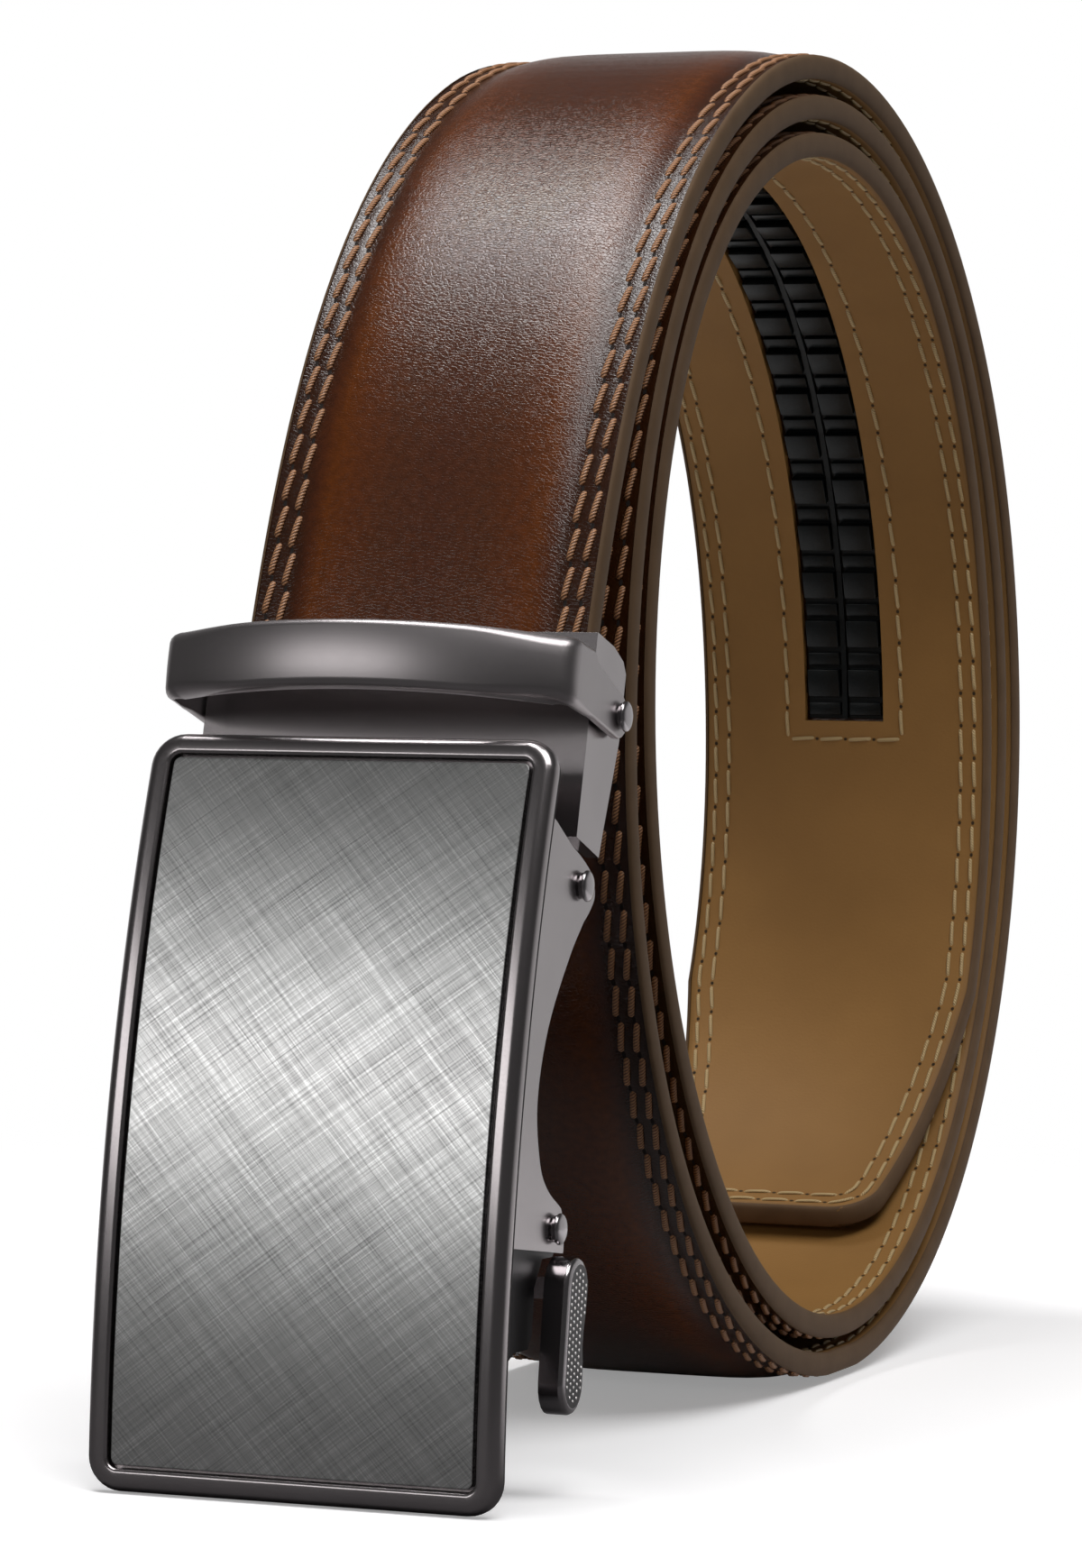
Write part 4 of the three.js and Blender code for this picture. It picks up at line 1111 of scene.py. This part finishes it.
def insideBy(border, x, y):  # how far a point lies inside an outline
    best = 1e9
    inside = False
    for (x0, y0), (x1, y1) in zip(border, border[1:] + border[:1]):
        if (y0 > y) != (y1 > y) and x < (x1 - x0) * (y - y0) / (y1 - y0) + x0:
            inside = not inside
        t = ((x - x0) * (x1 - x0) + (y - y0) * (y1 - y0)) / max((x1 - x0) ** 2 + (y1 - y0) ** 2, 1e-9)
        t = min(max(t, 0), 1)
        best = min(best, math.hypot(x - x0 - t * (x1 - x0), y - y0 - t * (y1 - y0)))
    return best if inside else -best


makeFrame()
makeInlay()
makeKeeper()
cadCopy("channel_bracket", "clamp_bracket", "belt", gunmetal, 0.25)
cadCopy("jaw_plate", "clamp_plate", "belt", gunmetal, 0.25)
cadCopy("toothed_pawl", "pawl", "pawl_lever", gunmetal, 0.15)
makePins()
makeLever()
print("buckle made")


# Stage, lights and camera

def makeFloor():
    # White paper, exposed bright for the camera alone, which fades into the backdrop. For other rays the
    # paper in front of the belt is darker: painted shade.
    material, tree = newMaterial("white_sweep")
    place = addNode(tree, "TexCoord")
    away = addNode(tree, "VectorMath", {0: (place, "Object")}, operation="LENGTH")
    fade = addNode(tree, "MapRange", {"Value": (away, "Value"), "From Min": 0.14, "From Max": 0.34},
                   interpolation_type="SMOOTHSTEP")
    paper = addNode(tree, "BsdfDiffuse", {"Color": linear("#f6f5f6")})
    glow = addNode(tree, "Emission", {"Strength": 0.28})
    bright = addNode(tree, "AddShader", {0: (paper, "BSDF"), 1: (glow, "Emission")})
    parts = addNode(tree, "SeparateXYZ", {"Vector": (place, "Object")})
    # darker paper in front of the belt for all but camera rays: painted shade
    frontShade = addNode(tree, "MapRange", {"Value": (parts, "Y"), "From Min": -0.07, "From Max": 0.02})
    shade = addNode(tree, "ValToRGB", {"Fac": (frontShade, "Result")}, stops=[
        (0.0, "#5c5b5c"), (1.0, "#f6f5f6")])
    dim = addNode(tree, "BsdfDiffuse", {"Color": (shade, "Color")})
    seen = addNode(tree, "LightPath")
    lit = addNode(tree, "MixShader", {0: (seen, "Is Camera Ray"), 1: (dim, "BSDF"),
                                      2: (bright, "Shader")})
    clear = addNode(tree, "BsdfTransparent")
    both = addNode(tree, "MixShader", {0: (fade, "Result"), 1: (lit, "Shader"), 2: (clear, "BSDF")})
    addNode(tree, "OutputMaterial", {"Surface": (both, "Shader")})
    bm = bmesh.new()
    bmesh.ops.create_grid(bm, x_segments=1, y_segments=1, size=0.5)
    floor = addObject("floor", toMesh(bm, "floor"))
    floor.data.materials.append(material)
    floor.location.z = -0.0001


def makeWorld():
    # A dim room with a bright strip of paper low behind the belt; the camera sees plain white
    world = bpy.data.worlds.new("studio")
    scene.world = world
    world.use_nodes = True
    tree = world.node_tree
    tree.nodes.clear()
    place = addNode(tree, "TexCoord")
    parts = addNode(tree, "SeparateXYZ", {"Vector": (place, "Generated")})
    behind = addNode(tree, "MapRange", {"Value": (parts, "Y"), "From Min": 0.15, "From Max": 0.7})
    height = addNode(tree, "Math", {0: (parts, "Z")}, operation="ABSOLUTE")
    low = addNode(tree, "MapRange", {"Value": (height, "Value"), "From Min": 0.22, "From Max": 0.5,
                                     "To Min": 1.0, "To Max": 0.0})
    paper = addNode(tree, "Math", {0: (behind, "Result"), 1: (low, "Result")}, operation="MULTIPLY")
    tone = addNode(tree, "MapRange", {"Value": (paper, "Value"), "To Min": 0.07, "To Max": 0.6})
    seen = addNode(tree, "LightPath")
    soft = addNode(tree, "Background", {"Color": (1, 1, 1, 1), "Strength": (tone, "Result")})
    white = addNode(tree, "Background", {"Color": (1, 1, 1, 1), "Strength": 1.0})
    both = addNode(tree, "MixShader", {0: (seen, "Is Camera Ray"), 1: (soft, "Background"),
                                       2: (white, "Background")})
    addNode(tree, "OutputWorld", {"Surface": (both, "Shader")})


def addSoftbox(name, way, distance, width, height, power, turn=0):
    # Aimed at the middle of the belt from the direction way, turned about its own axis
    target = Vector((0, 0, 0.07))
    way = Vector(way).normalized()
    lamp = bpy.data.lights.new(name, "AREA")
    lamp.shape = "RECTANGLE"
    lamp.size = width
    lamp.size_y = height
    lamp.energy = power
    box = addObject(name, lamp)
    aim = way.to_track_quat("Z", "Y").to_matrix().to_4x4() @ Matrix.Rotation(math.radians(turn), 4, "Z")
    box.matrix_world = Matrix.Translation(target + way * distance) @ aim


def makeCamera():
    view = {"azimuth": 20.72, "elevation": 0.84, "roll": 0.85, "place": (187.014, -521.76, 71.713),
            "focal": 5861.5, "longSide": 1739}
    a, e, r = (math.radians(view[key]) for key in ("azimuth", "elevation", "roll"))
    right0 = Vector((math.cos(a), math.sin(a), 0))
    back = Vector((math.sin(a) * math.cos(e), -math.cos(a) * math.cos(e), math.sin(e)))
    up0 = back.cross(right0)
    right = right0 * math.cos(r) + up0 * math.sin(r)
    up = -right0 * math.sin(r) + up0 * math.cos(r)
    data = bpy.data.cameras.new("camera")
    data.sensor_width = 36
    data.lens = view["focal"] * data.sensor_width / view["longSide"]
    camera = addObject("camera", data)
    matrix = Matrix((right, up, back)).transposed().to_4x4()
    matrix.translation = Vector(view["place"]) * 0.001
    camera.matrix_world = matrix
    scene.camera = camera


makeFloor()
makeWorld()
addSoftbox("front softbox", (-0.38, -0.895, 0.235), 0.9, 0.55, 0.2, 1.0)
addSoftbox("top strip", (-0.19, -0.065, 0.98), 0.9, 0.5, 0.19, 4.2, 30)
addSoftbox("key softbox", (0.36, -0.3, 0.88), 0.9, 0.6, 0.5, 5.6)
makeCamera()
scene.view_settings.view_transform = "Standard"
print("stage set")
